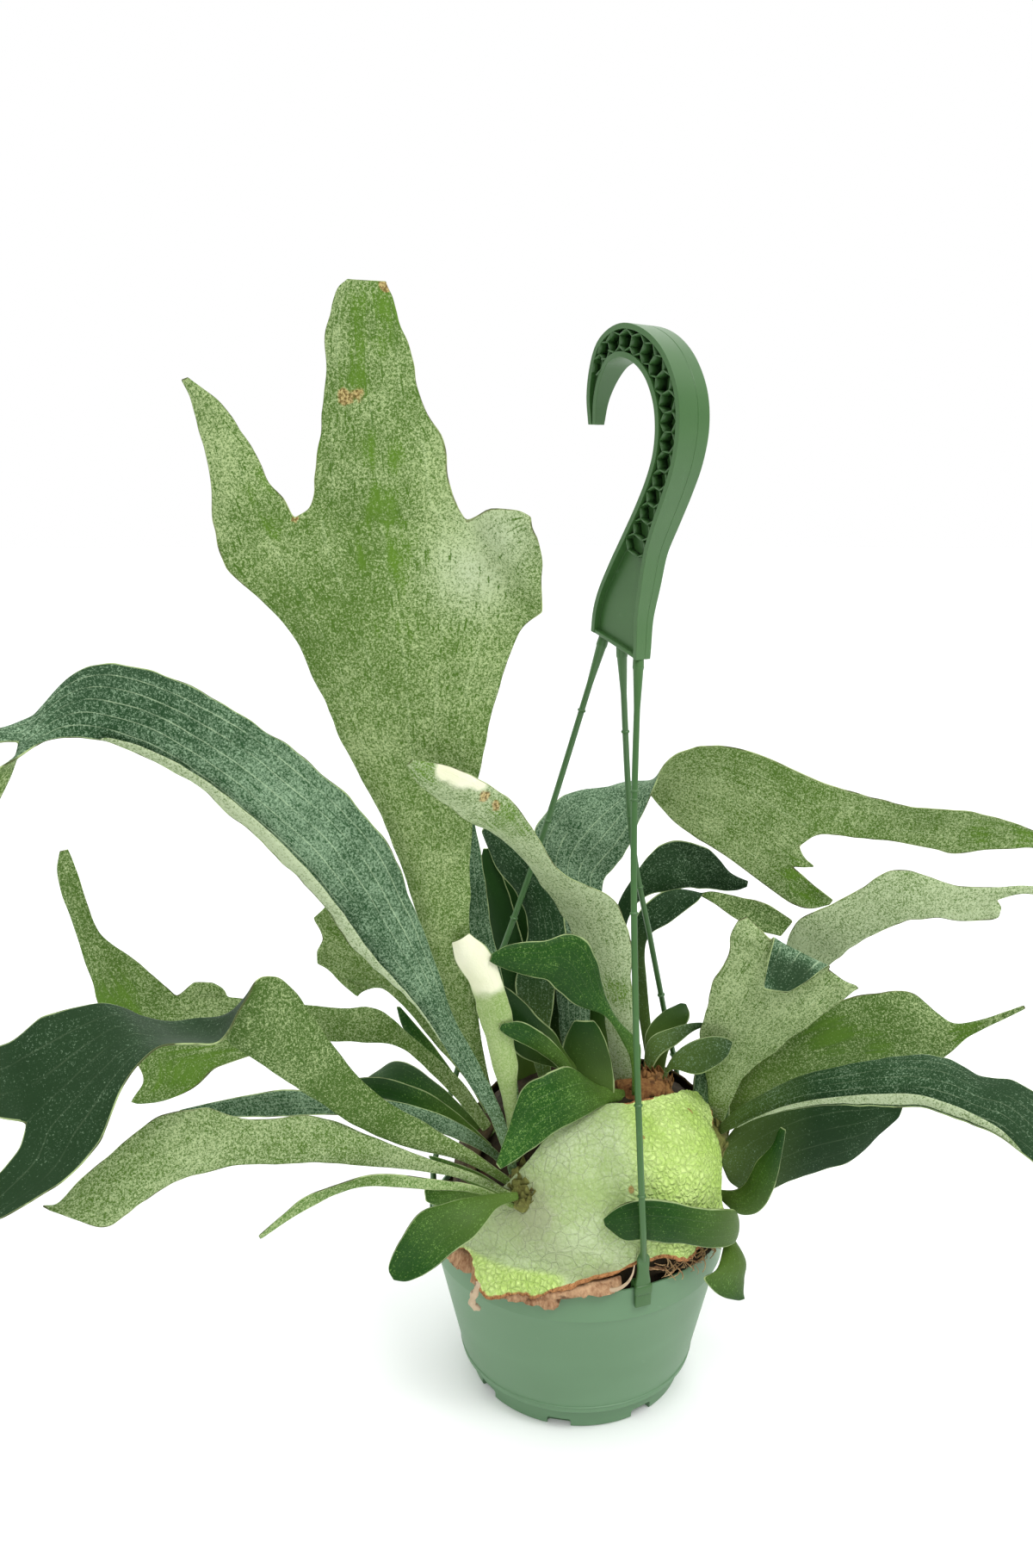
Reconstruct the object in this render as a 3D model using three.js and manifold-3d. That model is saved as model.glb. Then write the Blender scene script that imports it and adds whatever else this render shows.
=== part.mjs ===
// A staghorn fern in a hanging plastic pot. Millimetres, +Z up, the camera side is -Y.
// The origin is the middle of the pot's flat underside.
import * as THREE from "three";
import { mergeVertices } from "three/addons/utils/BufferGeometryUtils.js";
import Module from "manifold-3d";

const wasm = await Module();
wasm.setup();

// ---------------------------------------------------------------- driving dimensions

const GAP = 0.35; // clearance between pieces that touch

const POT = {
  height: 90,
  rimRadius: 76,
  bandHeight: 16,
  bandStep: 0.8,
  wall: 1.6,
  bodyFootRadius: 61.3,
  footHeight: 12,
  footRadius: 55.5,
  notches: 8,
  notchFirst: -98,
  notchWidth: 12,
  notchHeight: 4.5,
  segments: 40,
};

// The root ball is a squarish dome of peat and old fronds that stands out of the pot.
const BALL = {
  centre: new THREE.Vector3(10, -2, 88),
  radii: new THREE.Vector3(74, 66, 74),
  squareness: 2.6,
  cover: 2.2,
  lowest: -14,
  foot: 82.4,
  neckRadius: 71.2,
  neckTop: 91.2,
  around: 30,
  rings: 9,
};

const SHIELD = { thickness: 1.7, rows: 6 };

const BLADE = { stem: 2.4, middle: 1.7, tip: 1.2, steps: 2, closeRows: 9 };

const HOOK = { x: 15, y: 0, turn: -50, flange: 2.4, web: 3.2, lean: 0.34 };

const STRAND = { radius: 1.5, sides: 6, stops: 15 };

// The stepped top of a strand: millimetres below its upper end, and radius there.
const STRAND_TOP = [[0, 2.5], [5, 2.7], [6, 2.4], [14, 2], [24, STRAND.radius]];

const CLIP = {
  width: 8.5,
  paddleTop: 108,
  paddleThickness: 3,
  legThickness: 1.8,
  capThickness: 2.4,
  outsideFoot: 81,
  insideFoot: 84,
};

// ---------------------------------------------------------------- finishes

const FINISH = {
  pot: { color: 0x75987a, roughness: 0.55 },
  mix: { color: 0x2b2119, roughness: 1.0 },
  ball: { color: 0x5b4028, roughness: 1.0 },
  crown: { color: 0x6a4a2a, roughness: 0.95 },
  shield: { color: 0x9ab07a, roughness: 0.8 },
  oldShield: { color: 0x7a5130, roughness: 0.95 },
  grey: { color: 0x5f7a5e, roughness: 0.75 },
  green: { color: 0x3f7a30, roughness: 0.6 },
  pale: { color: 0xd9dfba, roughness: 0.7 },
  hanger: { color: 0x3f6b43, roughness: 0.45 },
};

const fern = new THREE.Group();
const finishes = {};

function finishOf(name) {
  finishes[name] ??= new THREE.MeshStandardMaterial({ ...FINISH[name], metalness: 0 });
  return finishes[name];
}

function addPiece(name, geometry, finish) {
  const mesh = new THREE.Mesh(geometry, finishOf(finish));
  mesh.name = name;
  fern.add(mesh);
}

// ---------------------------------------------------------------- solids

function bareGeometry(points, triangles) {
  const geometry = new THREE.BufferGeometry();
  const flat = points.flatMap((p) => [p.x, p.y, p.z]);
  geometry.setAttribute("position", new THREE.Float32BufferAttribute(flat, 3));
  geometry.setIndex(triangles.flat());
  return geometry;
}

function solidOf(geometry) {
  const bare = geometry.clone();
  bare.deleteAttribute("normal");
  bare.deleteAttribute("uv");
  const merged = mergeVertices(bare, 1e-4);
  return new wasm.Manifold(
    new wasm.Mesh({
      numProp: 3,
      vertProperties: new Float32Array(merged.attributes.position.array),
      triVerts: new Uint32Array(merged.index.array),
    }),
  );
}

function geometryOf(solid) {
  const mesh = solid.getMesh();
  const geometry = new THREE.BufferGeometry();
  geometry.setAttribute("position", new THREE.BufferAttribute(new Float32Array(mesh.vertProperties), 3));
  geometry.setIndex(new THREE.BufferAttribute(new Uint32Array(mesh.triVerts), 1));
  return geometry;
}

// The largest body of a solid, without the crumbs that a cut leaves.
function mainBody(solid) {
  const bodies = solid.decompose();
  return bodies.reduce((best, body) => (body.volume() > best.volume() ? body : best));
}

function lathe(profile, segments) {
  const points = profile.map(([r, z]) => new THREE.Vector2(r, z));
  return new THREE.LatheGeometry(points, segments).rotateX(Math.PI / 2);
}

function box(width, depth, height, x, y, z) {
  return new THREE.BoxGeometry(width, depth, height).translate(x, y, z);
}

function ellipsoid(centre, radii, around = 14, rings = 9) {
  return new THREE.SphereGeometry(1, around, rings).scale(...radii).translate(...centre);
}

// A sheet is a list of points with a half thickness each, and triangles facing its upper side.
function thicken(sheet) {
  const normals = sheet.points.map(() => new THREE.Vector3());
  const edges = new Map();
  for (const [a, b, c] of sheet.triangles) {
    const [p, q, r] = [a, b, c].map((i) => sheet.points[i]);
    const facing = new THREE.Vector3().crossVectors(q.clone().sub(p), r.clone().sub(p));
    for (const i of [a, b, c]) normals[i].add(facing);
    for (const [i, j] of [[a, b], [b, c], [c, a]]) {
      if (!edges.delete(`${j},${i}`)) edges.set(`${i},${j}`, [i, j]);
    }
  }
  const count = sheet.points.length;
  for (const normal of normals) normal.normalize();
  const moved = (point, i, sign) => point.clone().addScaledVector(normals[i], sign * sheet.half[i]);
  const side = (sign) => sheet.points.map((point, i) => moved(point, i, sign));
  const points = [...side(1), ...side(-1)];
  const triangles = [];
  for (const [a, b, c] of sheet.triangles) triangles.push([a, b, c], [a + count, c + count, b + count]);
  for (const [i, j] of edges.values()) {
    triangles.push([i, i + count, j], [j, i + count, j + count]);
  }
  return bareGeometry(points, triangles);
}

function emptySheet() {
  return { points: [], half: [], triangles: [], known: new Map() };
}

function sheetPoint(sheet, point, half) {
  const key = [point.x, point.y, point.z].map((v) => Math.round(v * 1000)).join();
  if (!sheet.known.has(key)) {
    sheet.known.set(key, sheet.points.length);
    sheet.points.push(point);
    sheet.half.push(half);
  }
  return sheet.known.get(key);
}

// Adds rows of points, each row running from the sheet's left to its right.
function addRows(sheet, rows, halves) {
  const index = rows.map((row, r) => row.map((point) => sheetPoint(sheet, point, halves[r])));
  for (let r = 1; r < rows.length; r += 1) {
    for (let c = 1; c < rows[r].length; c += 1) {
      const [a, b, d, e] = [index[r - 1][c - 1], index[r - 1][c], index[r][c - 1], index[r][c]];
      sheet.triangles.push([a, b, e], [a, e, d]);
    }
  }
}

// ---------------------------------------------------------------- pot, mix and root ball

function potSolid() {
  const { height, rimRadius, wall, footHeight, footRadius, bodyFootRadius } = POT;
  const bandFoot = height - POT.bandHeight;
  const bodyTop = rimRadius - POT.bandStep;
  const shell = solidOf(
    lathe(
      [
        [0, 0],
        [footRadius, 0],
        [footRadius + 1, footHeight],
        [bodyFootRadius, footHeight + 1],
        [bodyTop - 0.6, bandFoot],
        [rimRadius - 0.2, bandFoot + 0.6],
        [rimRadius, height],
        [rimRadius - wall, height],
        [bodyTop - wall - 0.6, bandFoot],
        [bodyFootRadius - wall, footHeight + 2.4],
        [footRadius + 1 - wall, footHeight + 2],
        [footRadius - wall, 2],
        [0, 2],
      ],
      POT.segments,
    ),
  );
  const notches = Array.from({ length: POT.notches }, (_, k) => {
    const angle = THREE.MathUtils.degToRad(POT.notchFirst + (360 / POT.notches) * k);
    return solidOf(box(10, POT.notchWidth, POT.notchHeight * 2, footRadius + 1, 0, 0).rotateZ(angle));
  });
  return notches.reduce((left, notch) => left.subtract(notch), shell);
}

function mixGeometry() {
  const inner = (radius) => radius - POT.wall - GAP;
  return lathe(
    [
      [0, 2 + GAP],
      [inner(POT.footRadius), 2 + GAP],
      [inner(POT.footRadius + 0.9), POT.footHeight + 2 + GAP],
      [inner(POT.bodyFootRadius), POT.footHeight + 3],
      [inner(POT.rimRadius - 1.6), POT.height - POT.bandHeight],
      [inner(POT.rimRadius - 1.6), BALL.foot - GAP - 2],
      [60, BALL.foot - GAP],
      [0, BALL.foot - GAP],
    ],
    28,
  );
}

// A point on the root ball, by degrees round it and degrees up, with a height above its skin.
function ballPoint(around, up, lift = 0) {
  const a = THREE.MathUtils.degToRad(around);
  const e = THREE.MathUtils.degToRad(up);
  const ray = new THREE.Vector3(Math.cos(e) * Math.cos(a), Math.cos(e) * Math.sin(a), Math.sin(e));
  const { radii, squareness, centre } = BALL;
  const parts = [ray.x / radii.x, ray.y / radii.y, ray.z / radii.z];
  const sum = parts.reduce((total, part) => total + Math.abs(part) ** squareness, 0);
  return ray.multiplyScalar(sum ** (-1 / squareness) + lift).add(centre);
}

function ballSolid() {
  const lumps = (a, e) => 0.9 * Math.sin(a * 0.11 + e * 0.05) * Math.cos(e * 0.17 - a * 0.04);
  const rows = [];
  for (let ring = 0; ring <= BALL.rings; ring += 1) {
    const up = BALL.lowest + ((90 - BALL.lowest) * ring) / BALL.rings;
    const row = [];
    for (let step = 0; step < BALL.around; step += 1) {
      const around = (360 * step) / BALL.around;
      const lift = ring === BALL.rings ? -BALL.cover : lumps(around, up) - BALL.cover;
      row.push(ballPoint(around, up, lift));
    }
    rows.push(row);
  }
  const points = rows.slice(0, -1).flat();
  const top = points.push(rows[BALL.rings][0]) - 1;
  const floor = points.push(new THREE.Vector3(BALL.centre.x, BALL.centre.y, rows[0][0].z)) - 1;
  const triangles = [];
  for (let step = 0; step < BALL.around; step += 1) {
    const next = (step + 1) % BALL.around;
    const at = (ring, s) => ring * BALL.around + s;
    for (let ring = 1; ring < BALL.rings; ring += 1) {
      triangles.push([at(ring - 1, step), at(ring - 1, next), at(ring, next)]);
      triangles.push([at(ring - 1, step), at(ring, next), at(ring, step)]);
    }
    triangles.push([at(BALL.rings - 1, step), at(BALL.rings - 1, next), top]);
    triangles.push([at(0, next), at(0, step), floor]);
  }
  const dome = solidOf(bareGeometry(points, triangles));
  const below = box(300, 300, 60, 0, 0, BALL.foot - 30);
  const { neckRadius, neckTop } = BALL;
  const ring = [[neckRadius, 60], [120, 60], [120, neckTop], [neckRadius, neckTop], [neckRadius, 60]];
  return dome.subtract(solidOf(below)).subtract(solidOf(lathe(ring, 32)));
}

// ---------------------------------------------------------------- shields

// The lower edge of a shield that hangs over the rim swings out and up before it drops.
function shieldPoint(around, up, lift, overRim) {
  const point = ballPoint(around, up, lift);
  const drop = Math.max(0, (10 - up) / 21);
  if (!overRim || drop === 0) return point;
  const a = THREE.MathUtils.degToRad(around);
  const out = 14 * drop ** 1.2;
  return point.add(new THREE.Vector3(out * Math.cos(a), out * Math.sin(a), 11 * Math.sin(2.2 * drop)));
}

// Columns: degrees round the root ball, degrees up of the lower edge and of the upper edge.
function shieldGeometry({ columns, lift, ripple, overRim }) {
  const sheet = emptySheet();
  const rows = columns.map(([around, low, high], column) => {
    const row = [];
    for (let k = 0; k <= SHIELD.rows; k += 1) {
      const t = k / SHIELD.rows;
      const up = high + (low - high) * t;
      const wave = ripple * Math.sin(column * 1.9 + 1) * t ** 6;
      row.push(shieldPoint(around, up, lift + wave, overRim));
    }
    return row;
  });
  addRows(sheet, rows, rows.map(() => SHIELD.thickness / 2));
  return thicken(sheet);
}

const SHIELDS = [
  {
    name: "shield_front", finish: "shield", lift: 2.2, ripple: 1.6, overRim: true,
    columns: [
      [-152, 2, 5], [-146, -3, 11], [-138, -4, 20], [-131, -8, 31], [-124, -12, 43], [-117, -11, 58],
      [-108, -11, 63], [-97, -5, 66], [-86, 1, 69], [-75, 7, 70], [-62, 11, 69], [-50, 9, 68.5],
      [-38, 8, 67], [-23, 7, 64], [-13, 8, 61], [-8, 36, 59], [-1, 39, 57], [8, 40, 51], [17, 41, 45],
    ],
  },
  {
    name: "shield_back", finish: "oldShield", lift: 0.8, ripple: 1.2, overRim: false,
    columns: [
      [26, 8, 34], [38, 7, 46], [52, 6, 56], [66, 7, 62], [80, 6, 66], [94, 7, 66],
      [108, 6, 63], [122, 7, 58], [136, 6, 50], [150, 7, 41], [162, 8, 30],
    ],
  },
  {
    name: "shield_left", finish: "oldShield", lift: 0.8, ripple: 1, overRim: false,
    columns: [[168, 8, 22], [178, 7, 36], [188, 7, 46], [198, 6, 50], [206, 7, 44], [213, 9, 26]],
  },
];

// ---------------------------------------------------------------- fronds

// Rows run from the root to the tip. A row is the left edge x, y, z and the right edge x, y, z,
// seen from the upper side with the tip ahead. A fork gives the points where lobes part, from
// left to right, and each lobe has rows of its own.
const FRONDS = [
  {
    name: "tall_antler", finish: "grey", cup: 0.1, wave: 0.8, split: [1, 2, 1],
    rows: [
      [-28, -39, 130, -32, -39, 129], [-43, -44, 184, -49, -44, 182], [-50, -50, 245, -68, -50, 245],
      [-50, -53, 276, -77, -53, 275], [-48, -56, 312, -88, -56, 310], [-43, -58, 343, -104, -58, 345],
      [-36, -60, 371, -114, -60, 370], [-27, -62, 395, -127, -62, 397],
    ],
    fork: [-17, -68, 404, -49, -62, 441, -121, -62, 442, -150, -66, 421],
    lobes: [
      [[-17, -70, 415, -41, -66, 444], [-18, -73, 426, -28, -70, 445], [-19, -75, 435, -22, -74, 442]],
      [
        [-56, -61, 450, -113, -61, 449], [-60, -61, 470, -110, -61, 470], [-67, -62, 489, -107, -62, 490],
        [-72, -64, 512, -105, -64, 515], [-77, -66, 527, -100, -66, 530], [-79, -67, 533, -96, -67, 534],
      ],
      [
        [-128, -65, 455, -154, -67, 443], [-138, -68, 474, -155, -69, 467],
        [-148, -71, 488, -158, -71, 485], [-159, -73, 497, -162, -73, 496],
      ],
    ],
  },
  {
    name: "long_arch", finish: "grey", cup: -0.1, wave: 0.6, split: [2, 2],
    rows: [
      [-31, -47.5, 127, -27, -47, 129], [-40, -53, 163, -35, -51, 165], [-56, -58, 194, -46, -55, 194],
      [-73, -66, 226, -58, -60, 222], [-95, -76, 254, -73, -64, 274], [-120, -88, 294, -90, -72, 313],
      [-147, -100, 327, -122, -84, 349], [-171, -114, 350, -151, -98, 373],
      [-186, -126, 359, -176, -112, 386], [-196, -136, 362, -193, -122, 385],
    ],
    fork: [-200, -148, 361, -207, -146, 362, -206, -134, 370],
    lobes: [
      [
        [-206, -157, 357, -208, -149, 352], [-211, -164, 353, -213, -154, 340],
        [-217, -168, 342, -217, -159, 331], [-222, -164, 325, -221, -163, 323],
      ],
      [
        [-211, -150, 363, -215, -140, 366], [-220, -156, 361, -224, -146, 366],
        [-231, -160, 356, -234, -152, 361], [-244, -160, 348, -243, -158, 349],
      ],
    ],
  },
  {
    name: "left_dark_twist", finish: "grey", cup: 0.08, wave: 0.8, split: [2, 2],
    rows: [
      [-28, -51.3, 131, -30, -51.5, 128], [-49, -61, 153, -53, -62, 148], [-71, -70, 172, -79, -74, 162],
      [-93, -80, 193, -102, -86, 180], [-107, -90, 219, -123, -97, 202], [-119, -98, 246, -138, -106, 218],
      [-131, -108, 258, -148, -109, 229], [-136, -121, 251, -156, -107, 236],
      [-142, -133, 240, -164, -106, 236],
      [-151, -142, 242, -172, -108, 236], [-162, -150, 243, -181, -114, 241],
      [-171, -160, 234, -195, -120, 249],
    ],
    fork: [-177, -172, 216, -211, -160, 216, -215, -132, 248],
    lobes: [
      [
        [-185, -180, 208, -211, -170, 209], [-194, -187, 202, -217, -179, 203],
        [-206, -192, 196, -221, -187, 198], [-223, -195, 191, -225, -194, 193],
      ],
      [
        [-219, -164, 220, -226, -138, 239], [-230, -168, 228, -237, -148, 238],
        [-243, -172, 231, -247, -162, 236], [-255, -174, 228, -256, -172, 230],
      ],
    ],
  },
  {
    name: "left_back_fork", finish: "grey", cup: 0.08, wave: 0.8, split: [1, 2, 1],
    rows: [
      [-31, -24, 126, -33, -24, 123], [-54, -23, 164, -59, -25, 159], [-70, -24, 182, -75, -28, 178],
      [-85, -24, 195, -88, -30, 190], [-99, -26, 208, -101, -34, 194], [-119, -29, 209, -119, -38, 196],
      [-143, -33, 213, -141, -44, 196],
    ],
    fork: [-169, -37, 217, -192, -42, 219, -212, -52, 194, -171, -56, 189],
    lobes: [
      [[-171, -36, 221, -188, -41, 222], [-176, -36, 224, -184, -39, 225]],
      [
        [-200, -44, 230, -226, -50, 215], [-211, -46, 240, -229, -50, 230], [-224, -47, 251, -234, -49, 247],
        [-229, -48, 267, -239, -48, 264], [-233, -48, 283, -242, -48, 281], [-236, -48, 293, -240, -48, 292],
      ],
      [[-204, -60, 185, -179, -62, 182], [-207, -63, 179, -194, -64, 176], [-209, -64, 175, -206, -64, 174]],
    ],
  },
  {
    name: "left_low_pale", finish: "grey", cup: 0.1, wave: 1.2,
    rows: [
      [-30, -58, 131, -32, -58.3, 128], [-52, -66, 146, -54, -68, 143], [-75, -73, 158, -77, -76, 151],
      [-94, -81, 171, -97, -88, 160], [-115, -90, 185, -120, -97, 166], [-139, -99, 187, -144, -108, 170],
      [-160, -107, 196, -163, -120, 171], [-177, -118, 197, -175, -131, 169],
      [-190, -128, 188, -183, -139, 165],
      [-202, -135, 178, -189, -144, 162], [-211, -141, 171, -199, -146, 165],
      [-216, -144, 171, -213, -145, 169],
    ],
  },
  {
    name: "left_low_thin", finish: "green", cup: -0.1, wave: 0.3,
    rows: [
      [-29, -61.7, 127, -30, -62, 124], [-46, -71, 141, -47, -72, 138], [-66, -84, 152, -67, -85, 147],
      [-88, -96, 161, -91, -97, 155], [-104, -104, 160, -105, -103, 154], [-117, -110, 157, -114, -109, 152],
      [-125, -115, 152, -121, -114, 150], [-135, -121, 145, -134, -121, 143],
    ],
  },
  {
    name: "left_mid_grey", finish: "grey", cup: -0.08, wave: 0.5,
    rows: [
      [-34, -36, 127, -32, -35, 131], [-43, -42, 140, -41, -41, 144], [-57, -48, 151, -54, -45, 157],
      [-72, -54, 160, -66, -50, 166], [-84, -58, 166, -84, -53, 173], [-109, -64, 171, -110, -58, 179],
      [-137, -71, 173, -136, -65, 184], [-156, -77, 176, -156, -72, 183], [-180, -84, 181, -179, -83, 182],
    ],
  },
  {
    name: "left_mid_hump", finish: "green", cup: -0.1, wave: 0.4,
    rows: [
      [-39, -20, 124, -36, -19, 129], [-57, -20, 142, -54, -17, 148], [-74, -14, 151, -72, -6, 159],
      [-93, -4, 155, -92, 7, 165], [-109, 5, 144, -109, 15, 153], [-125, 11, 133, -125, 18, 139],
      [-138, 15, 129, -138, 16, 131],
    ],
  },
  {
    name: "left_mid_low", finish: "green", cup: -0.1, wave: 0.4,
    rows: [
      [-37, -30, 127, -35, -29, 131], [-58, -34, 147, -55, -32, 153], [-74, -38, 159, -72, -35, 168],
      [-93, -42, 168, -92, -37, 177], [-108, -47, 171, -107, -42, 179], [-122, -51, 170, -122, -47, 177],
      [-135, -55, 169, -135, -54, 172],
    ],
  },
  {
    name: "left_back_wavy", finish: "grey", cup: 0.12, wave: 1.0, split: [2, 1, 1],
    rows: [
      [-34, -13, 130, -38, -14, 127], [-46, -6, 161, -54, -9, 158], [-66, 4, 188, -75, 0, 180],
      [-81, 12, 217, -97, 8, 201],
    ],
    fork: [-101, 20, 252, -134, 18, 227, -129, 15, 209, -106, 12, 203],
    lobes: [
      [[-117, 22, 254, -138, 20, 234], [-130, 21, 246, -139, 20, 238]],
      [[-137, 17, 221, -137, 16, 214]],
      [[-123, 14, 203, -113, 13, 200], [-118, 14, 199, -115, 13, 198]],
    ],
  },
  {
    name: "left_tip_small", finish: "green", cup: -0.1, wave: 0,
    rows: [
      [-49, -14, 135, -46, -13, 137], [-68, -7, 160, -62, -6, 162], [-83, -5, 179, -75, -4, 180],
      [-90, -4, 189, -84, -3, 191], [-93, -2, 199, -91, -2, 199],
    ],
  },
  {
    name: "front_left_small", finish: "green", cup: -0.08, wave: 0.4,
    rows: [
      [-27, -65, 131, -28, -64.6, 135], [-37, -78, 134, -43, -75, 139], [-45, -90, 128, -58, -83, 140],
      [-54, -96, 123, -71, -87, 137], [-63, -102, 118, -78, -96, 129], [-73, -106, 115, -82, -104, 122],
      [-80, -107, 116, -82, -106, 119],
    ],
  },
  {
    name: "front_left_leaflet", finish: "green", cup: -0.1, wave: 0,
    rows: [
      [-29, -55, 124, -30, -55, 127], [-43, -56, 130, -44, -56, 138], [-52, -57, 134, -54, -57, 143],
      [-61, -58, 140, -63, -58, 147], [-70, -59, 148, -70, -59, 149],
    ],
  },
  {
    name: "front_left_old", finish: "green", cup: -0.1, wave: 0,
    rows: [
      [-37, -49, 121, -37, -49, 125], [-51, -58, 126, -51, -57, 133], [-63, -64, 125, -64, -61, 137],
      [-71, -66, 129, -72, -64, 134],
    ],
  },
  {
    name: "front_mid_green", finish: "green", cup: -0.1, wave: 0.6,
    rows: [
      [27, -8, 154, 26, -6, 157], [15, -27, 161, 9, -25, 170], [4, -43, 163, -4, -43, 188],
      [-9, -56, 162, -18, -53, 189],
      [-18, -65, 160, -27, -56, 183], [-27, -73, 157, -32, -67, 168], [-35, -78, 154, -37, -77, 156],
    ],
  },
  {
    name: "centre_green", finish: "green", cup: -0.1, wave: 0.5,
    rows: [
      [27, -14, 158, 31, -13, 158], [26, -21, 179, 30, -19, 179], [22, -28, 192, 29, -24, 193],
      [12, -36, 211, 18, -30, 207],
      [-1, -43, 219, 12, -35, 224], [-10, -47, 228, 7, -39, 243], [-17, -51, 235, -2, -44, 256],
      [-29, -55, 239, -16, -50, 254],
      [-36, -58, 243, -30, -55, 254], [-41, -60, 247, -40, -59, 250],
    ],
  },
  {
    name: "bleached_stub", finish: "pale", cup: 0.2, wave: 0.6,
    rows: [
      [-27, -43, 131, -31, -43, 131], [-29, -48, 168, -35, -48, 169], [-29, -51, 195, -40, -51, 191],
      [-30, -53, 218, -46, -54, 216],
      [-33, -55, 234, -50, -56, 233], [-40, -57, 249, -56, -57, 248], [-50, -58, 260, -58, -58, 255],
    ],
  },
  {
    name: "centre_dark_small", finish: "green", cup: -0.1, wave: 0.4,
    rows: [
      [10, -14, 158, 10, -13, 161], [-7, -27, 178, -5, -24, 184], [-23, -36, 187, -11, -31, 199],
      [-34, -41, 199, -19, -37, 210],
      [-41, -44, 213, -27, -42, 222], [-45, -47, 229, -37, -46, 231], [-46, -48, 235, -44, -48, 235],
    ],
  },
  {
    name: "centre_curled_small", finish: "green", cup: -0.12, wave: 0,
    rows: [
      [4, -23, 158, 5, -22, 161], [-8, -34, 181, -6, -31, 187], [-20, -44, 196, -13, -40, 200],
      [-27, -53, 204, -20, -49, 210],
      [-33, -57, 209, -27, -54, 216], [-37, -59, 214, -36, -58, 216],
    ],
  },
  {
    name: "torn_pale_curl", finish: "grey", cup: 0.1, wave: 0.8,
    rows: [
      [27, -1, 152, 19, 0, 153], [30, -10, 186, 13, -4, 189], [26, -15, 216, 11, -9, 213],
      [24, -20, 240, 0, -12, 237], [18, -24, 263, -11, -16, 258], [0, -29.7, 274.9, -18.9, -22.8, 271.9],
      [-9.8, -37.1, 283.5, -26.6, -32.2, 286.4], [-20.4, -49.1, 304.4, -39.6, -47, 302.2],
      [-30.6, -63.9, 322.8, -49, -66.4, 313], [-43.7, -74.1, 334.9, -58.9, -71.2, 322.5],
      [-58.8, -80.8, 341.7, -68.3, -79.9, 333.2], [-70.2, -85.6, 344.6, -73, -84.6, 342.7],
    ],
  },
  {
    name: "right_arch", finish: "grey", cup: -0.1, wave: 0.8, split: [1, 1, 2],
    rows: [
      [-2, 13, 146, 4, 13, 146], [-5, 15, 161, 5, 15, 160], [-9, 18, 174, 6, 17, 175],
      [-12, 23, 198, 6, 21, 199],
      [-16, 28, 224, 7, 25, 224], [-21, 33, 251, 10, 31, 242], [-25, 39, 277, 12, 37, 256],
      [-12, 46, 297, 23, 40, 270],
      [12, 56, 302, 31, 41, 289], [30, 65, 301, 37, 43, 304], [41, 66, 288, 45, 48, 319],
      [54, 61, 277, 60, 50, 325], [73, 54, 267, 86, 50, 323],
    ],
    fork: [110, 46, 242, 111, 46, 262, 114, 46, 273, 126, 46, 307],
    lobes: [
      [[121, 45, 239, 122, 45, 253], [131, 43, 242, 133, 43, 245]],
      [[117, 45, 262, 117, 45, 267], [122, 45, 262, 122, 45, 263]],
      [
        [125, 46, 280, 144, 45, 302], [146, 46, 277, 157, 44, 299], [168, 44, 276, 171, 42, 296],
        [193, 40, 272, 193, 38, 296],
        [214, 36, 276, 211, 34, 293], [230, 33, 278, 228, 32, 287], [253, 28, 276, 252, 28, 279],
      ],
    ],
  },
  {
    name: "centre_dark_tall", finish: "grey", cup: -0.1, wave: 0.4,
    rows: [
      [-18, 3, 150, -13, 3, 151], [-27, 5, 180, -15, 5, 180], [-33, 9, 209, -12, 8, 210],
      [-27, 12, 232, -7, 10, 233],
      [-30, 14, 249, -10, 12, 250], [-37, 16, 260, -18, 14, 266], [-44, 18, 269, -31, 16, 281],
      [-51, 20, 286, -48, 20, 290],
    ],
  },
  {
    name: "centre_dark_back", finish: "green", cup: -0.1, wave: 0.4,
    rows: [
      [-19, 22, 145, -14, 22, 146], [-31, 27, 193, -17, 27, 193], [-41, 31, 223, -22, 31, 224],
      [-45, 34, 248, -27, 34, 249],
      [-46, 37, 263, -31, 37, 264], [-43, 39, 281, -41, 39, 282],
    ],
  },
  {
    name: "behind_tall_dark", finish: "green", cup: -0.1, wave: 0.4,
    rows: [
      [-28, -29, 131, -25, -29, 132], [-41, -31, 196, -33, -29, 198], [-53, -33, 238, -39, -29, 237],
      [-59, -33, 263, -43, -29, 260],
      [-59, -33, 285, -46, -29, 282], [-52, -32, 306, -50, -32, 307],
    ],
  },
  {
    name: "right_fold", finish: "grey", cup: 0.08, wave: 0.6, split: [1, 2, 1],
    rows: [
      [74, 12, 126, 69, 13, 127], [84, 6, 159, 66, 9, 160], [99, 0, 179, 62, 5, 183],
      [113, -5, 194, 64, 1, 205],
    ],
    fork: [128, -10, 210, 121, -10, 227, 93, -8, 241, 73, -4, 231],
    lobes: [
      [[133, -12, 216, 128, -11, 222], [136, -12, 218, 134, -12, 220]],
      [[120, -14, 231, 93, -11, 243], [110, -22, 226, 90, -18, 233], [99, -26, 221, 88, -24, 221]],
      [[87, -7, 247, 73, -4, 240], [81, -6, 252, 77, -5, 250]],
    ],
  },
  {
    name: "right_mid_pale", finish: "grey", cup: 0.1, wave: 1.0, split: [1, 2],
    rows: [
      [72, 30, 125, 69, 30, 127], [93, 30, 160, 86, 31, 171], [113, 25, 194, 103, 28, 215],
      [127, 20, 216, 111, 24, 239],
      [137, 16, 227, 123, 20, 249], [148, 11, 238, 139, 16, 259], [161, 7, 246, 154, 13, 271],
      [174, 4, 249, 171, 9, 269], [185, 1, 249, 185, 5, 266],
    ],
    fork: [198, -3, 251, 201, -2, 261, 202, 0, 267],
    lobes: [
      [[202, -4, 253, 203, -4, 258]],
      [[211, -4, 265, 212, -3, 269], [221, -7, 265, 222, -6, 269], [233, -10, 264, 234, -10, 266]],
    ],
  },
  {
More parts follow.
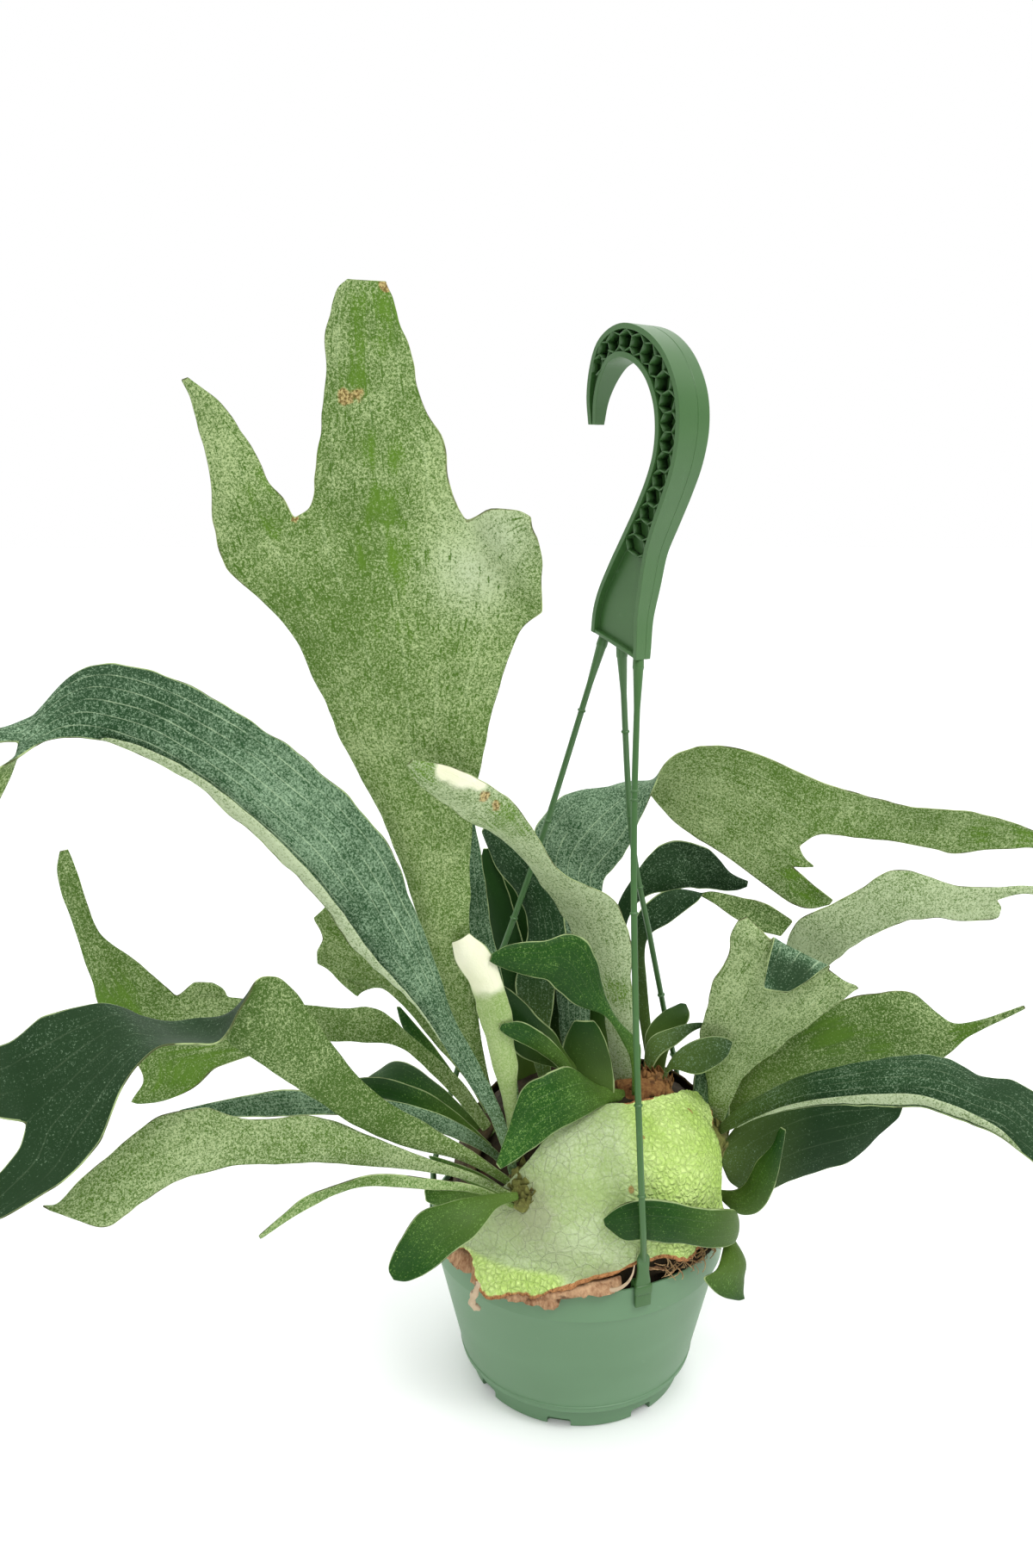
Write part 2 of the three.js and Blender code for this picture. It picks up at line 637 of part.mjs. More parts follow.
    name: "right_low_green", finish: "grey", cup: 0.1, wave: 0.8,
    rows: [
      [74, 21, 122, 71, 21, 125], [94, 16, 145, 81.1, 18, 157.1], [118, 8, 160, 97.5, 14, 177.9],
      [143, 2, 169, 119.2, 9, 197.8], [163, -3, 173, 145, 6, 209], [176, -7, 178, 165, 2, 211],
      [183, -10, 185, 176, -2, 203], [189, -12, 193, 184, -7, 199], [198, -15, 201, 196, -13, 204],
      [213, -20, 213, 212, -20, 215],
    ],
  },
  {
    name: "right_dark", finish: "grey", cup: -0.1, wave: 0.8, split: [2, 2],
    rows: [
      [73, 5, 134, 74, 4, 129], [85, -3, 151, 91, -8, 146], [107, -14, 171, 108, -25, 160],
      [124, -24, 182, 124, -39, 170],
      [142, -32, 191, 139, -51, 177], [158, -40, 197, 153, -62, 182], [171, -48, 199, 163, -72, 183],
      [182, -58, 196, 173, -82, 183],
      [193, -66, 198, 181, -91, 183],
    ],
    fork: [202, -76, 196, 198, -96, 186, 189, -102, 180],
    lobes: [
      [[211, -84, 191, 207, -94, 184], [219, -92, 184, 214, -97, 180], [224, -98, 178, 222, -98, 177]],
      [[201, -104, 177, 195, -108, 175], [203, -111, 170, 199, -112, 168], [205, -116, 163, 203, -116, 162]],
    ],
  },
  {
    name: "right_dark_low", finish: "grey", cup: -0.1, wave: 0.8,
    rows: [
      [73.4, 1, 121.8, 73.7, 1, 114.9], [79.7, 5, 131, 81.6, 3, 100.1],
      [93.3, 11, 142.4, 96.4, 5, 95.3], [113.3, 14, 152.2, 111.4, 6, 102.2],
      [133, 14, 156.7, 128.8, 6, 109.8], [148.4, 14, 156.1, 144.3, 6, 117.3],
      [160.6, 14, 151.6, 155.5, 8, 128.3], [168.5, 12, 144.1, 165.8, 10, 138.8],
    ],
  },
  {
    name: "pup_upright", finish: "green", cup: -0.1, wave: 0.4,
    rows: [
      [72, 0, 100, 74, -1, 97], [80.8, -6, 103.5, 83.3, -8, 90.5], [86.8, -9, 110.5, 92.1, -13, 95],
      [89.8, -12, 122.1, 98.1, -16, 106.4], [93.1, -14, 129.1, 100.3, -18, 118.3],
      [97.6, -16, 136.6, 101.6, -19, 130.3], [99.2, -17, 142.8, 102.8, -19, 140.8],
      [100.6, -18, 146.3, 103, -19, 145.9],
    ],
  },
  {
    name: "pup_front", finish: "green", cup: -0.1, wave: 0.4,
    rows: [
      [73, -31, 96, 73, -29, 99], [76, -48, 101, 76, -43.5, 116], [63, -62.5, 107, 62.5, -59.5, 126],
      [46, -69, 113, 46, -67, 134], [32, -71.5, 116, 31, -70.5, 137], [22, -72, 116, 20, -71.5, 134],
      [13, -71, 123, 12, -71, 126],
    ],
  },
  {
    name: "pup_down", finish: "green", cup: -0.08, wave: 0.3,
    rows: [
      [76, -27, 93, 74, -30, 94], [82, -46, 91, 67, -60, 95], [81, -51, 84, 59, -67, 94],
      [81, -54, 79, 68, -64, 83],
      [81, -56, 76, 78, -57, 76],
    ],
  },
  {
    name: "back_right_dark", finish: "grey", cup: -0.1, wave: 0.5,
    rows: [
      [31, 46, 132, 36, 46, 131], [18, 55, 187, 26, 55, 186], [18, 61, 226, 25, 59, 221],
      [33, 65, 256, 33, 61, 238],
      [48, 69, 269, 51, 63, 242], [69, 70, 264, 67, 65, 243], [82, 70, 251, 82, 67, 241],
      [92, 70, 246, 91, 69, 243],
    ],
  },
  {
    name: "back_right_twist", finish: "grey", cup: -0.1, wave: 0.3,
    rows: [
      [40, 39, 134, 44, 39, 133], [30, 46, 191, 37, 46, 190], [29, 50, 226, 36, 48, 219],
      [40, 53, 242, 50, 50, 229],
      [54, 56, 245, 62, 51, 240], [68, 52, 241, 69, 54, 245], [81, 47, 233, 86, 51, 243],
      [94, 44, 227, 100, 48, 240], [106, 42, 224, 113, 45, 232],
    ],
  },
  {
    name: "crown_leaf_dark", finish: "green", cup: -0.1, wave: 0.3,
    rows: [
      [41, 24, 145, 45, 24, 145], [35, 29, 166, 47, 26, 164], [37, 32, 176, 54, 28, 175],
      [45, 34, 184, 59, 30, 183], [54, 36, 188, 57, 35, 188],
    ],
  },
  {
    name: "crown_leaf_grey", finish: "grey", cup: -0.1, wave: 0.3,
    rows: [
      [34, 9, 156, 35, 6, 154], [35, 11, 177, 41, 5, 171], [47, 14, 183, 50, 8, 177],
      [57, 15, 186, 58, 12, 182], [64, 16, 186, 64, 15, 184],
    ],
  },
  {
    name: "crown_leaf_oval", finish: "grey", cup: -0.1, wave: 0.3,
    rows: [
      [43, 0, 161, 43, -2, 158], [50, -3, 179, 47, -6, 170], [60, -6, 187, 58, -10, 169],
      [70, -8, 190, 68, -12, 175], [77, -9, 187, 74, -11, 181],
    ],
  },
];

function pairOf(row) {
  return [new THREE.Vector3(row[0], row[1], row[2]), new THREE.Vector3(row[3], row[4], row[5])];
}

function pointsOf(flat) {
  const points = [];
  for (let i = 0; i < flat.length; i += 3) points.push(new THREE.Vector3(flat[i], flat[i + 1], flat[i + 2]));
  return points;
}

// Points along a broken line, with a number of steps for each of its spans.
function between(points, steps) {
  const row = [];
  for (let span = 1; span < points.length; span += 1) {
    const count = steps[span - 1];
    for (let c = 0; c < count; c += 1) row.push(points[span - 1].clone().lerp(points[span], c / count));
  }
  row.push(points[points.length - 1].clone());
  return row;
}

// A smooth line through stations, each tangent half the step between the neighbours.
function smoothLine(stations, steps) {
  const last = stations.length - 1;
  const tangent = (i) => {
    const step = stations[Math.min(i + 1, last)].clone().sub(stations[Math.max(i - 1, 0)]);
    return step.multiplyScalar(i > 0 && i < last ? 0.5 : 1);
  };
  const line = [];
  for (let i = 0; i < last; i += 1) {
    for (let k = 0; k < steps; k += 1) {
      const t = k / steps;
      const point = stations[i].clone().multiplyScalar(2 * t ** 3 - 3 * t ** 2 + 1);
      point.addScaledVector(tangent(i), t ** 3 - 2 * t ** 2 + t);
      point.addScaledVector(stations[i + 1], -2 * t ** 3 + 3 * t ** 2);
      point.addScaledVector(tangent(i + 1), t ** 3 - t ** 2);
      line.push(point);
    }
  }
  line.push(stations[last].clone());
  return line;
}

// Cupping and edge waves stand up from each row, and fade at an end that joins a fork.
function bendRows(rows, frond, joinsStart, joinsEnd) {
  const last = rows.length - 1;
  return rows.map((row, r) => {
    const v = r / last;
    const fade = (joinsStart ? 1 - (1 - v) ** 6 : 1) * (joinsEnd ? 1 - v ** 6 : 1);
    const across = row[row.length - 1].clone().sub(row[0]);
    const ahead = rows[Math.min(r + 1, last)][0].clone().sub(rows[Math.max(r - 1, 0)][0]);
    const upper = across.clone().cross(ahead).normalize();
    return row.map((point, c) => {
      const side = (2 * c) / (row.length - 1) - 1;
      const cup = -frond.cup * across.length() * (1 - side ** 2);
      const wave = frond.wave * side * Math.sin(rows.length * 0.9 * v + 1);
      return point.clone().addScaledVector(upper, (cup + wave) * fade);
    });
  });
}

const stepsOf = (frond) => (frond.rows.length >= BLADE.closeRows ? 1 : BLADE.steps);

function strip(sheet, stations, frond, halves, joinsStart, joinsEnd, kept = Infinity) {
  const columns = stations[0].map((_, c) => smoothLine(stations.map((row) => row[c]), stepsOf(frond)));
  const rows = columns[0].map((_, r) => columns.map((column) => column[r]));
  const last = rows.length - 1;
  const half = rows.map((_, r) => THREE.MathUtils.lerp(halves[0], halves[1], (r / last) ** 0.5));
  addRows(sheet, bendRows(rows, frond, joinsStart, joinsEnd).slice(0, kept), half);
}

// The rows of a frond's undivided part, made wider and longer at the root by a margin.
function stemRows(frond, margin, columns) {
  const pairs = frond.rows.map(pairOf);
  const back = pairs[0][0].clone().sub(pairs[1][0]).setLength(margin);
  return pairs.map(([left, right], k) => {
    const out = right.clone().sub(left).setLength(margin);
    const shift = k === 0 ? back : new THREE.Vector3();
    return between([left.clone().sub(out).add(shift), right.clone().add(out).add(shift)], [columns]);
  });
}

function frondGeometry(frond) {
  const sheet = emptySheet();
  const { stem, middle, tip } = BLADE;
  const rows = stemRows(frond, 0, frond.split ? frond.split.reduce((sum, count) => sum + count) : 2);
  if (!frond.fork) {
    strip(sheet, rows, frond, [stem / 2, tip / 2], false, false);
    return thicken(sheet);
  }
  const fork = pointsOf(frond.fork);
  strip(sheet, [...rows, between(fork, frond.split)], frond, [stem / 2, middle / 2], false, true);
  frond.lobes.forEach((lobe, k) => {
    const start = between([fork[k], fork[k + 1]], [frond.split[k]]);
    const lobeRows = lobe.map((row) => between(pairOf(row), [frond.split[k]]));
    strip(sheet, [start, ...lobeRows], frond, [middle / 2, tip / 2], true, false);
  });
  return thicken(sheet);
}

// The plain hole that a frond's stem stands in: its first rows, a gap wider all round.
function rootHole(frond) {
  const sheet = emptySheet();
  const rows = stemRows(frond, GAP + 0.25, 2);
  const half = BLADE.stem / 2 + GAP + 0.2;
  strip(sheet, rows, frond, [half, half], false, Boolean(frond.fork), 2 * stepsOf(frond) + 1);
  return solidOf(thicken(sheet));
}

// ---------------------------------------------------------------- hanger

// The hook lies in one upright plane, which runs sideways and has the beam's faces to either hand.
const turned = THREE.MathUtils.degToRad(HOOK.turn);
const SIDEWAYS = new THREE.Vector3(Math.cos(turned), Math.sin(turned), 0);
const FACEWAYS = new THREE.Vector3(SIDEWAYS.y, -SIDEWAYS.x, 0);

// Stations of the hook's middle line: sideways, height, depth of the beam, width of its flanges.
const HOOK_LINE = [
  [3, 383.4, 34, 9], [5, 399, 31, 10], [12, 416, 24.5, 12], [18.5, 430, 18.5, 13], [26, 442.5, 15.5, 15],
  [33, 455, 14.5, 16], [38, 467, 14.5, 17], [40, 480, 15, 18], [38, 493, 15.5, 18], [31, 505.5, 15, 18],
  [20.5, 514, 14.5, 18], [8, 517.5, 14, 17], [-4, 514.5, 12.5, 14], [-11, 506.5, 10, 11],
  [-15.5, 495.5, 7.5, 8], [-16.5, 483.5, 5.2, 5.5],
];

// The way the beam runs at its foot, whose flat end the strands hang from.
const HOOK_FOOT = new THREE.Vector2(HOOK.lean, 1).normalize();

function hookPlane(sideways, height) {
  return new THREE.Vector3(HOOK.x, HOOK.y, height).addScaledVector(SIDEWAYS, sideways);
}

function beamSection(depth, width) {
  const [d, w, f, e] = [depth / 2, width / 2, HOOK.flange, HOOK.web / 2];
  return [
    [-d, -w], [-d + f, -w], [-d + f, -e], [d - f, -e], [d - f, -w], [d, -w],
    [d, w], [d - f, w], [d - f, e], [-d + f, e], [-d + f, w], [-d, w],
  ];
}

function loft(rings, cap) {
  const count = rings[0].length;
  const points = rings.flat();
  const triangles = [];
  const at = (ring, k) => ring * count + (k % count);
  for (let r = 1; r < rings.length; r += 1) {
    for (let k = 0; k < count; k += 1) {
      triangles.push([at(r - 1, k), at(r - 1, k + 1), at(r, k + 1)]);
      triangles.push([at(r - 1, k), at(r, k + 1), at(r, k)]);
    }
  }
  const top = (rings.length - 1) * count;
  for (const [a, b, c] of cap) triangles.push([c, b, a], [top + a, top + b, top + c]);
  const inward = signedVolume(points, triangles) < 0;
  return bareGeometry(points, inward ? triangles.map(([a, b, c]) => [a, c, b]) : triangles);
}

function signedVolume(points, triangles) {
  return triangles.reduce((sum, [a, b, c]) => sum + points[a].dot(points[b].clone().cross(points[c])), 0);
}

function hookGeometry() {
  const last = HOOK_LINE.length - 1;
  const rings = HOOK_LINE.map(([sideways, height, depth, width], k) => {
    const before = HOOK_LINE[Math.max(k - 1, 0)];
    const after = HOOK_LINE[Math.min(k + 1, last)];
    const along = new THREE.Vector2(after[0] - before[0], after[1] - before[1]).normalize();
    if (k === 0) along.copy(HOOK_FOOT);
    return beamSection(depth, width).map(([a, b]) =>
      hookPlane(sideways + a * along.y, height - a * along.x).addScaledVector(FACEWAYS, b),
    );
  });
  const outline = beamSection(HOOK_LINE[0][2], HOOK_LINE[0][3]).map(([a, b]) => new THREE.Vector2(a, b));
  return loft(rings, THREE.ShapeUtils.triangulateShape(outline, []));
}

// Strands: sideways place under the hook, the clip's degrees round the rim, points from hook to clip.
const STRANDS = [
  {
    name: "strand_front", sideways: 16, around: -66,
    path: [24, -33, 300, 26, -57, 213, 29.5, -76.5, 138, 30.5, -76.5, 121],
  },
  { name: "strand_left", sideways: -8, around: 176, path: [-20, 9, 285, -38, 9, 231, -63, 6, 161] },
  {
    name: "strand_back", sideways: 4, around: 46,
    path: [26, 22, 280, 37, 34, 224, 48, 46, 170, 55, 53, 135],
  },
];

// A clip: a tab outside the rim, a leg inside it, a cap over it and a paddle that stands up.
function clipSolid(around) {
  const { width, paddleTop, paddleThickness, legThickness, capThickness, outsideFoot, insideFoot } = CLIP;
  const over = POT.height + GAP;
  const outside = POT.rimRadius + GAP + legThickness;
  const inside = POT.rimRadius - POT.wall - POT.bandStep - GAP - legThickness;
  const plate = (from, to, low, high) =>
    box(to - from, width, high - low, (from + to) / 2, 0, (low + high) / 2);
  const parts = [
    plate(outside - paddleThickness, outside, over, paddleTop),
    plate(inside, outside, over, over + capThickness),
    plate(outside - legThickness, outside, outsideFoot, over + 1),
    plate(inside, inside + legThickness, insideFoot, over + 1),
  ];
  const placed = parts.map((part) => solidOf(part.rotateZ(THREE.MathUtils.degToRad(around))));
  return placed.reduce((whole, part) => whole.add(part));
}

// The room behind a clip and the lowest part of its strand, which root ball and shields leave free.
function clipRoom(strand) {
  const inner = POT.rimRadius - 5.5;
  const room = box(30, CLIP.width + 2 * GAP, 60, inner + 15, 0, CLIP.insideFoot + 30);
  return solidOf(room.rotateZ(THREE.MathUtils.degToRad(strand.around)));
}

// A round cord along points, with its first end square to a given way.
function tube(points, radii, start) {
  const rings = points.map((point, k) => {
    const after = points[Math.min(k + 1, points.length - 1)];
    const along = k > 0 ? after.clone().sub(points[k - 1]).normalize() : start;
    const first = new THREE.Vector3(0, 1, 0).cross(along).normalize();
    const second = along.clone().cross(first);
    return Array.from({ length: STRAND.sides }, (_, side) => {
      const angle = (2 * Math.PI * side) / STRAND.sides;
      const [u, v] = [radii[k] * Math.cos(angle), radii[k] * Math.sin(angle)];
      return point.clone().addScaledVector(first, u).addScaledVector(second, v);
    });
  });
  const cap = [];
  for (let side = 2; side < STRAND.sides; side += 1) cap.push([0, side - 1, side]);
  return loft(rings, cap);
}

function strandSolid({ sideways, around, path }) {
  const angle = THREE.MathUtils.degToRad(around);
  const reach = POT.rimRadius + GAP + CLIP.legThickness - CLIP.paddleThickness / 2;
  const [footMiddle, footHeight] = HOOK_LINE[0];
  const start = SIDEWAYS.clone().multiplyScalar(-HOOK_FOOT.x).setZ(-HOOK_FOOT.y);
  const foot = hookPlane(sideways, footHeight - HOOK.lean * (sideways - footMiddle));
  const end = new THREE.Vector3(reach * Math.cos(angle), reach * Math.sin(angle), CLIP.paddleTop - 3);
  const route = [foot.addScaledVector(start, GAP), ...pointsOf(path), end];
  const curve = new THREE.CatmullRomCurve3(route, false, "centripetal");
  const length = curve.getLength();
  const stepped = STRAND_TOP.map(([at]) => at);
  const plain = Array.from({ length: STRAND.stops + 1 }, (_, k) => (k * length) / STRAND.stops);
  const stops = [...stepped, ...plain.filter((at) => at > stepped[stepped.length - 1] + 6)];
  const radii = stops.map((_, k) => STRAND_TOP[k]?.[1] ?? STRAND.radius);
  const cord = tube(stops.map((at) => curve.getPointAt(at / length)), radii, start);
  return solidOf(cord).add(clipSolid(around));
}

// ---------------------------------------------------------------- assembly

const CROWNS = [
  { name: "crown_left", centre: [-26, -42, 128], radii: [9, 24, 11] },
  { name: "crown_top", centre: [32, -1, 156], radii: [17, 17, 10] },
  { name: "crown_right", centre: [69, 12, 123], radii: [10, 20, 11] },
];

const grownCrown = ({ centre, radii }) => solidOf(ellipsoid(centre, radii.map((r) => r + GAP)));
const holes = FRONDS.map(rootHole);
const rooms = [...CROWNS.map(grownCrown), ...STRANDS.map(clipRoom)];
const cutHoles = (solid) => mainBody(holes.reduce((left, hole) => left.subtract(hole), solid));
const cutRooms = (solid) => cutHoles(rooms.reduce((left, room) => left.subtract(room), solid));

addPiece("pot", geometryOf(potSolid()), "pot");
addPiece("potting_mix", mixGeometry(), "mix");
addPiece("root_ball", geometryOf(cutRooms(ballSolid())), "ball");
for (const crown of CROWNS) {
  addPiece(crown.name, geometryOf(cutHoles(solidOf(ellipsoid(crown.centre, crown.radii)))), "crown");
}
for (const { name, finish, ...sheet } of SHIELDS) {
  addPiece(name, geometryOf(cutRooms(solidOf(shieldGeometry(sheet)))), finish);
}
for (const frond of FRONDS) addPiece(frond.name, frondGeometry(frond), frond.finish);
addPiece("hook", hookGeometry(), "hanger");
for (const strand of STRANDS) addPiece(strand.name, geometryOf(strandSolid(strand)), "hanger");

export default fern;
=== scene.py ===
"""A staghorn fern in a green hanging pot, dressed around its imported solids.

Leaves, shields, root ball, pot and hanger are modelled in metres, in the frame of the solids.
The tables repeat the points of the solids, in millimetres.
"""

import math

import bmesh
import bpy
from bpy.props import FloatProperty, FloatVectorProperty, IntProperty, PointerProperty
from mathutils import Matrix, Vector, noise


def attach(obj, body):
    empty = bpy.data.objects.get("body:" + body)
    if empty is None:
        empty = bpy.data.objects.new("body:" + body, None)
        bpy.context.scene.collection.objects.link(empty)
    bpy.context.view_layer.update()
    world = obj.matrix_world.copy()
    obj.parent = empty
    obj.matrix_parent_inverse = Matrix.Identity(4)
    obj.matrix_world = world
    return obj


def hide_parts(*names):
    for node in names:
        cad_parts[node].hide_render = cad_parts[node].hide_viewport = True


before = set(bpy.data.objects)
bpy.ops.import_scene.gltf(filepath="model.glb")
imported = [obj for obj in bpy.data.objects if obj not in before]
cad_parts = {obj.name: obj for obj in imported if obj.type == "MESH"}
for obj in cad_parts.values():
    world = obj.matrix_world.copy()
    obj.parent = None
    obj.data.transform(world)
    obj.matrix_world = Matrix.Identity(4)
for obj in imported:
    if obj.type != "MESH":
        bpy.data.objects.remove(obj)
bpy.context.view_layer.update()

bl_info = {
    "name": "Staghorn Fern in a Hanging Pot",
    "version": (1, 0, 0),
    "blender": (4, 5, 0),
    "location": "3D View > Sidebar > Fern",
    "description": "Builds a potted staghorn fern with its hook hanger",
    "category": "Object",
}

MM = 0.001
GAP = 0.35  # millimetres between pieces that touch

# ---------------------------------------------------------------- sizes, in millimetres

POT = {
    "height": 90, "rim_radius": 76, "band_height": 16, "band_step": 0.8, "wall": 1.6,
    "body_foot_radius": 61.3, "foot_height": 12, "foot_radius": 55.5,
    "notches": 8, "notch_first": -98, "notch_width": 12, "notch_height": 4.5,
}
BALL = {
    "centre": (10, -2, 88), "radii": (74, 66, 74), "squareness": 2.6, "cover": 2.2,
    "foot": 82.4, "neck_radius": 71.2, "neck_top": 91.2,
}
CAMERA = {"back": 0.570, "down": 12.9, "turn": 3.2}  # metres and degrees
BLADE = {"stem": 2.4, "middle": 1.7, "tip": 1.2, "steps": 2, "close_rows": 9}
HOOK = {"x": 15, "y": 0, "turn": -50, "flange": 2.4, "web": 3.2, "lean": 0.34}
CLIP = {
    "width": 8.5, "paddle_top": 108, "paddle_thickness": 3, "leg_thickness": 1.8,
    "cap_thickness": 2.4, "outside_foot": 81, "inside_foot": 84,
}
STRAND_RADIUS = 1.5
STRAND_TOP = [(0, 2.5), (5, 2.7), (6, 2.4), (14, 2), (24, STRAND_RADIUS)]  # distance from the top, radius
NUB = (2.1, 2.1, 1.1)  # half sizes: beside the strand, and the last one along it
CELLS = {"size": 8.2, "wall": 0.5, "first": 2.7, "last": 13.2, "overlap": 0.2}
STRANDS = {
    "strand_front": {
        "sideways": 16, "around": -66,
        "path": [(24, -33, 300), (26, -57, 213), (29.5, -76.5, 138), (30.5, -76.5, 121)],
        "nubs": [62, 66, 118, 205, 246],
    },
    "strand_left": {
        "sideways": -8, "around": 176,
        "path": [(-20, 9, 285), (-38, 9, 231), (-63, 6, 161)], "nubs": [38, 96, 150, 214],
    },
    "strand_back": {
        "sideways": 4, "around": 46,
        "path": [(26, 22, 280), (37, 34, 224), (48, 46, 170), (55, 53, 135)],
        "nubs": [44, 90, 132, 200, 240],
    },
}
# Stations of the hook's middle line: sideways, height, depth of the beam, width of its flanges.
HOOK_LINE = [
    (3, 383.4, 34, 9), (5, 399, 31, 10), (12, 416, 24.5, 12), (18.5, 430, 18.5, 13),
    (26, 442.5, 15.5, 15), (33, 455, 14.5, 16), (38, 467, 14.5, 17), (40, 480, 15, 18),
    (38, 493, 15.5, 18), (31, 505.5, 15, 18), (20.5, 514, 14.5, 18), (8, 517.5, 14, 17),
    (-4, 514.5, 12.5, 14), (-11, 506.5, 10, 11), (-15.5, 495.5, 7.5, 8), (-16.5, 483.5, 5.2, 5.5),
]
# The fill of the pot: a cone under a ring of crumbs.
MIX = {"low_radius": 56, "high_radius": 73.9, "depth": 70, "middle": 47.6, "crumbs": 420}
# Dry laps over the rim: degrees round the pot, reach, height of the end, and a number for the tear.
LAPS = [
    (-153, -126, 80.0, 87.5, 0.0), (-133, -108, 81.2, 85.0, 2.1), (-118, -92, 81.0, 84.6, 6.3),
    (-104, -73, 79.4, 90.6, 4.2), (-62, -38, 75.2, 95.4, 8.7),
]
LAP_ROOT = (69.5, 93.4)  # distance from the pot's axis and height where the laps come out
LAP_RIM = {"inside": 73.5, "outside": 76.6, "height": 91.0}
CROWNS = {
    "crown_left": {"centre": (-26, -42, 128), "radii": (9, 24, 11)},
    "crown_top": {"centre": (32, -1, 156), "radii": (17, 17, 10)},
    "crown_right": {"centre": (69, 12, 123), "radii": (10, 20, 11)},
}
# Shield columns: degrees round the root ball, degrees up of the lower and of the upper edge.
SHIELDS = {
    "shield_front": {
        "lift": 2.2, "ripple": 1.6,
        "columns": [
            (-152, 2, 5), (-146, -3, 11), (-138, -4, 20), (-131, -8, 31), (-124, -12, 43),
            (-117, -11, 58), (-108, -11, 63), (-97, -5, 66), (-86, 1, 69), (-75, 7, 70),
            (-62, 11, 69), (-50, 9, 68.5), (-38, 8, 67), (-23, 7, 64), (-13, 8, 61), (-8, 36, 59),
            (-1, 39, 57), (8, 40, 51), (17, 41, 45),
        ],
    },
    "shield_back": {
        "lift": 0.8,
        "columns": [
            (26, 8, 34), (38, 7, 46), (52, 6, 56), (66, 7, 62), (80, 6, 66), (94, 7, 66),
            (108, 6, 63), (122, 7, 58), (136, 6, 50), (150, 7, 41), (162, 8, 30),
        ],
    },
    "shield_left": {
        "lift": 0.8,
        "columns": [
            (168, 8, 22), (178, 7, 36), (188, 7, 46), (198, 6, 50), (206, 7, 44), (213, 9, 26),
        ],
    },
}

# What a leaf of FRONDS or BACKING is where its entry doesn't say otherwise.
PLAIN_LEAF = {"skin": "green", "cup": -0.1, "wave": 0.4, "split": (2,)}
